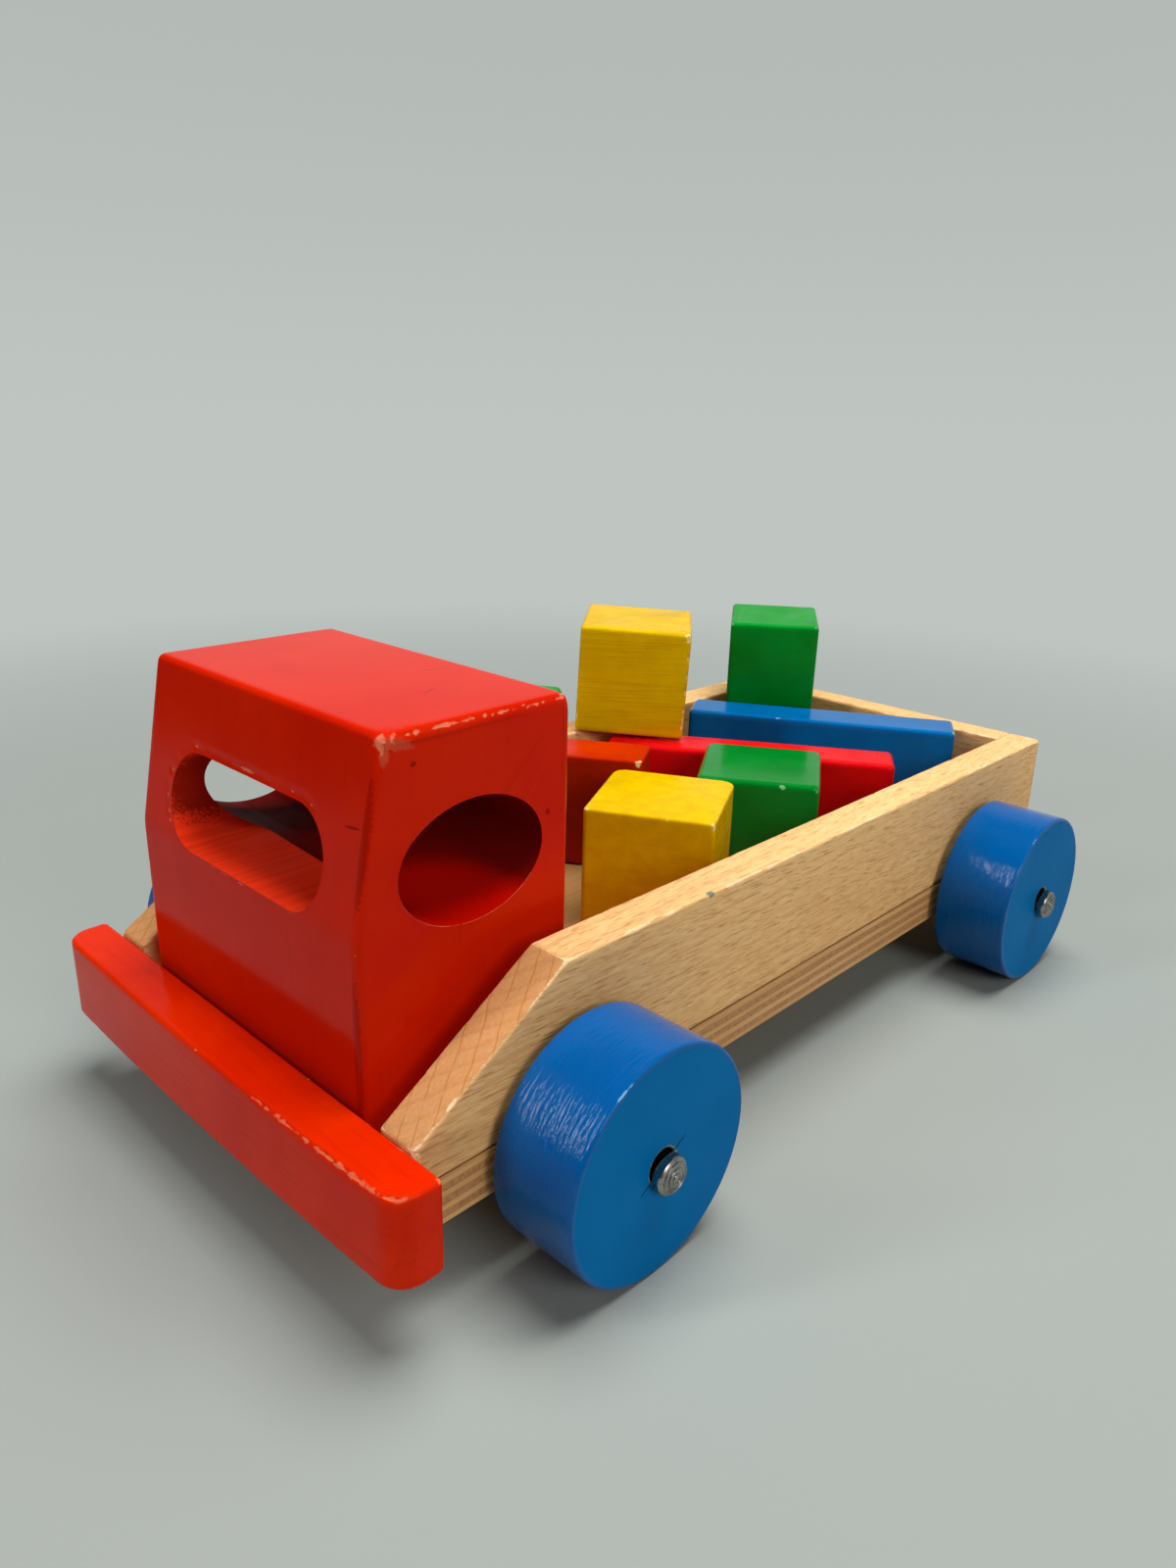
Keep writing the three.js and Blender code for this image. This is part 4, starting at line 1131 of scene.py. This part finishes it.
def ringTree(look):
    # bead rings on a dome: one wire ring per radius, set at the dome's own height, on every cap
    numbers = [str(k) for k in range(1, len(look["ringRadii"]) + 1)]
    sizes = ["Wire Radius"] + [label + number for label in ("Ring ", "Height ") for number in numbers]
    tree, given = startTree("capRings", Float=sizes, Object=("Caps",), Material=("Steel",))
    wire = circleCurve(tree, look["wireAround"], given["Wire Radius"])
    rings = addNode(tree, "GeometryNodeJoinGeometry")
    for number in numbers:
        path = circleCurve(tree, look["ringAround"], given["Ring " + number])
        ring = addNode(tree, "GeometryNodeCurveToMesh", {"Curve": path, "Profile Curve": wire})
        lift = addNode(tree, "ShaderNodeCombineXYZ", {2: given["Height " + number]})
        lifted = addNode(tree, "GeometryNodeTransform",
                         {"Geometry": ring.outputs[0], "Translation": lift.outputs[0]})
        tree.links.new(lifted.outputs[0], rings.inputs[0])
    seats = addNode(tree, "GeometryNodeObjectInfo", {"Object": given["Caps"]})
    spots = addNode(tree, "GeometryNodeMeshToPoints", {"Mesh": seats.outputs["Geometry"]}, mode="VERTICES")
    facing = addNode(tree, "GeometryNodeInputNamedAttribute", {"Name": "facing"}, data_type="FLOAT_VECTOR")
    aim = addNode(tree, "FunctionNodeAlignRotationToVector", {"Vector": facing.outputs[0]}, axis="Z")
    placed = addNode(tree, "GeometryNodeInstanceOnPoints",
                     {"Points": spots.outputs[0], "Instance": rings.outputs[0], "Rotation": aim.outputs[0]})
    endTree(tree, placed.outputs[0], given["Steel"])
    return tree


def makeCaps(look, steel):
    caps = [n for n in frame["nodes"] if "_cap_" in n]
    seats, facings = [], []
    for node in caps:
        seat, side, radius = capSeat(node)
        mesh = meshFrom(node + "_domed", *capBody(look, seat, side, radius))
        faceOutward(mesh)
        keepAs(mesh, node + "_domed", "truck", [node], steel)
        seats.append(tuple(seat))
        facings.append((0.0, float(side), 0.0))
    seatMesh = bpy.data.meshes.new("capSeats")
    seatMesh.from_pydata(seats, [], [])
    facing = seatMesh.attributes.new("facing", "FLOAT_VECTOR", "POINT")
    facing.data.foreach_set("vector", np.array(facings, np.float32).ravel())
    seatHolder = newObject("capSeats", seatMesh)
    values = {"Wire Radius": look["ringWire"], "Caps": seatHolder, "Steel": steel}
    radius = capSeat(caps[0])[2]
    for number, ring in enumerate(look["ringRadii"], 1):
        values[f"Ring {number}"] = ring
        values[f"Height {number}"] = domeHeight(ring / radius)
    rings = bakeTree(ringTree(look), "cap_rings", values)
    bpy.data.objects.remove(seatHolder)
    faceOutward(rings)
    keepAs(rings, "cap_rings", "truck", [], steel)


def makeMetalwork():
    steel = platedSteel("platedSteel", steelLook)
    makeCaps(capLook, steel)
    for node in ("front_axle", "rear_axle", "cab_screw_left", "cab_screw_right"):
        repaint(frame["nodes"][node].data, steel)
    dowel = beechWood("dowelWood", beechLook)
    for node in ("bumper_dowel_left", "bumper_dowel_right"):
        repaint(frame["nodes"][node].data, dowel)


makeMetalwork()
print("metalwork ready")


# Load: painted blocks, each with its own paint, corners and wear
blockPaint = {"blotchScale": 60.0, "grainStretch": (70, 800, 800), "grainLow": 0.5, "grainHigh": 0.82,
              "grainInk": 0.25, "grainDepth": 0.4, "wearLow": 0.5, "wearHigh": 0.78, "gloss": (0.24, 0.38),
              "specular": 0.1, "relief": 0.1 * mm}
blockWear = {"bendLow": 300, "bendHigh": 900, "broadScale": 80, "smallScale": 480, "wear": 0.0,
             "chipStart": 0.42, "chipDepth": 0.35 * mm, "ripple": 0.08 * mm}
blockSpacing = 0.9 * mm


def blockColours(colour, shade, grain, worn, **others):
    return dict(blockPaint, colour=fromScreen(*colour), shade=fromScreen(*shade),
                grainColour=fromScreen(*grain), worn=fromScreen(*worn)) | others


yellowPaint = blockColours((229, 188, 0), (220, 175, 0), (176, 128, 2), (248, 226, 150), blotchScale=300.0,
                           fineDepth=0.5)
grainyYellow = dict(yellowPaint, blotchScale=90.0, grainStretch=(45, 1800, 1600), grainInk=0.32,
                    grainLow=0.46, grainHigh=0.64, grainDepth=0.9, relief=0.2 * mm)
greenPaint = blockColours((0, 148, 44), (0, 136, 34), (0, 92, 22), (120, 196, 132))
# the front green cube has glossier paint, and is painted darker than the other green blocks as painted shade
# for its place low in the bed
glossyShadedGreen = dict(greenPaint, colour=fromScreen(0, 130, 40), shade=fromScreen(0, 120, 32), gloss=(0.1, 0.2),
                   specular=0.25)
orangePaint = blockColours((200, 38, 0), (186, 31, 0), (130, 20, 0), (244, 200, 130))
crimsonPaint = blockColours((227, 10, 16), (213, 5, 10), (146, 2, 6), (240, 150, 140))
bluePaint = blockColours((0, 104, 172), (0, 95, 160), (0, 56, 106), (130, 180, 215), gloss=(0.14, 0.24),
                         specular=0.2)
# corners seen from above, in millimetres: front right, back right, back left, front left
# knocks in halves of the block: to the right, away, up, then reach and depth in millimetres
blockLooks = {
    "yellow_cube_front": {"slot": "yellow", "paint": yellowPaint, "corners": (1.0, 3.6, 3.4, 1.4),
                          "edge": 0.8, "seed": 31, "wear": 0.16, "knocks": ((1, -1, 0.97, 2.6, 0.8),)},
    "yellow_cube_top": {"slot": "yellow", "paint": grainyYellow, "corners": (0.9, 1.2, 1.2, 1.0), "edge": 1.3,
                        "seed": 32, "wear": -0.1,
                        "knocks": ((0.96, -1, 0.94, 2.4, 0.7), (1, -1, 0.55, 1.5, 0.6),
                                   (1, -1, 0.2, 1.2, 0.5), (1, -1, -0.1, 1.7, 0.6),
                                   (1, -1, -0.45, 1.3, 0.6), (1, -1, -0.75, 1.6, 0.5))},
    "green_cube_front": {"slot": "green", "paint": glossyShadedGreen, "corners": (2.0, 2.6, 3.0, 2.2), "edge": 1.5,
                         "seed": 33, "wear": -0.12,
                         "knocks": ((0.98, -1, 0.93, 1.8, 0.4), (0.4, -1, 0.95, 1.5, 0.3))},
    "green_cube_corner": {"slot": "green", "paint": greenPaint, "corners": (1.2, 1.2, 1.2, 1.0), "edge": 1.3,
                          "seed": 34, "wear": -0.1},
    "green_upright_block": {"slot": "green", "paint": greenPaint, "corners": (1.6, 1.8, 1.6, 1.6),
                            "edge": 1.3, "seed": 35},
    "orange_half_block": {"slot": "orange_red", "paint": orangePaint, "corners": (1.2, 1.2, 1.2, 1.2),
                          "edge": 0.8, "seed": 36, "knocks": ((0.95, -1, 0.97, 2.2, 0.6),)},
    "red_bar": {"slot": "crimson", "paint": crimsonPaint, "corners": (1.8, 1.8, 1.2, 1.2), "edge": 1.5,
                "seed": 37, "wear": -0.3},
    "blue_bar": {"slot": "bar_blue", "paint": bluePaint, "corners": (1.5, 1.3, 1.3, 1.3), "edge": 1.2,
                 "seed": 38, "wear": -0.2},
}


def blockPose(node):
    # the three face directions that hold the most area, then the middle and size along each
    mesh = frame["nodes"][node].data
    areas = {}
    for polygon in mesh.polygons:
        n = polygon.normal
        if (n.z, n.y, n.x) < (0, 0, 0):
            n = -n
        key = tuple(round(c, 2) + 0.0 for c in n)
        areas.setdefault(key, [0.0, Vector((0, 0, 0))])
        areas[key][0] += polygon.area
        areas[key][1] += n * polygon.area
    best = [v[1].normalized() for v in sorted(areas.values(), key=lambda v: -v[0])]
    axes = []
    for axis in best:
        if len(axes) < 3 and all(abs(axis.dot(other)) < 0.2 for other in axes):
            axes.append(axis)
    up = max(axes, key=lambda a: abs(a.z))
    up = up if up.z > 0 else -up
    flat = [a for a in axes if abs(a.dot(up)) < 0.5]
    right = max(flat, key=lambda a: abs(a.y))
    right = right if right.y > 0 else -right
    axes = np.array([right, up.cross(right), up])
    points = np.array([v.co for v in mesh.vertices]) @ axes.T
    low, high = points.min(0), points.max(0)
    return axes, (low + high) / 2, high - low


def makeBlock(node, look):
    axes, centre, size = blockPose(node)
    half = size / 2
    corners = [(half[0], -half[1]), (half[0], half[1]), (-half[0], half[1]), (-half[0], -half[1])]
    points, faces = easedSlab(corners, millimetres(*look["corners"]), -half[2], half[2], look["edge"] * mm,
                              blockSpacing)
    mesh = meshFrom(node + "_worn", (points + centre) @ axes, faces)
    knocks = [{"at": (np.array(knock[:3]) * half + centre) @ axes, "reach": knock[3] * mm,
               "depth": knock[4] * mm} for knock in look.get("knocks", ())]
    wear = look.get("wear", blockWear["wear"])
    wearEdges(mesh, dict(blockWear, seed=look["seed"], wear=wear, knocks=knocks))
    turn = math.atan2(axes[0][1], axes[0][0])
    keepAs(mesh, node + "_worn", bodyOf(node), [node],
           paintedWood(node + "_paint", look["paint"], turn))


for blockNode, blockLook in blockLooks.items():
    makeBlock(blockNode, blockLook)
print("load ready")
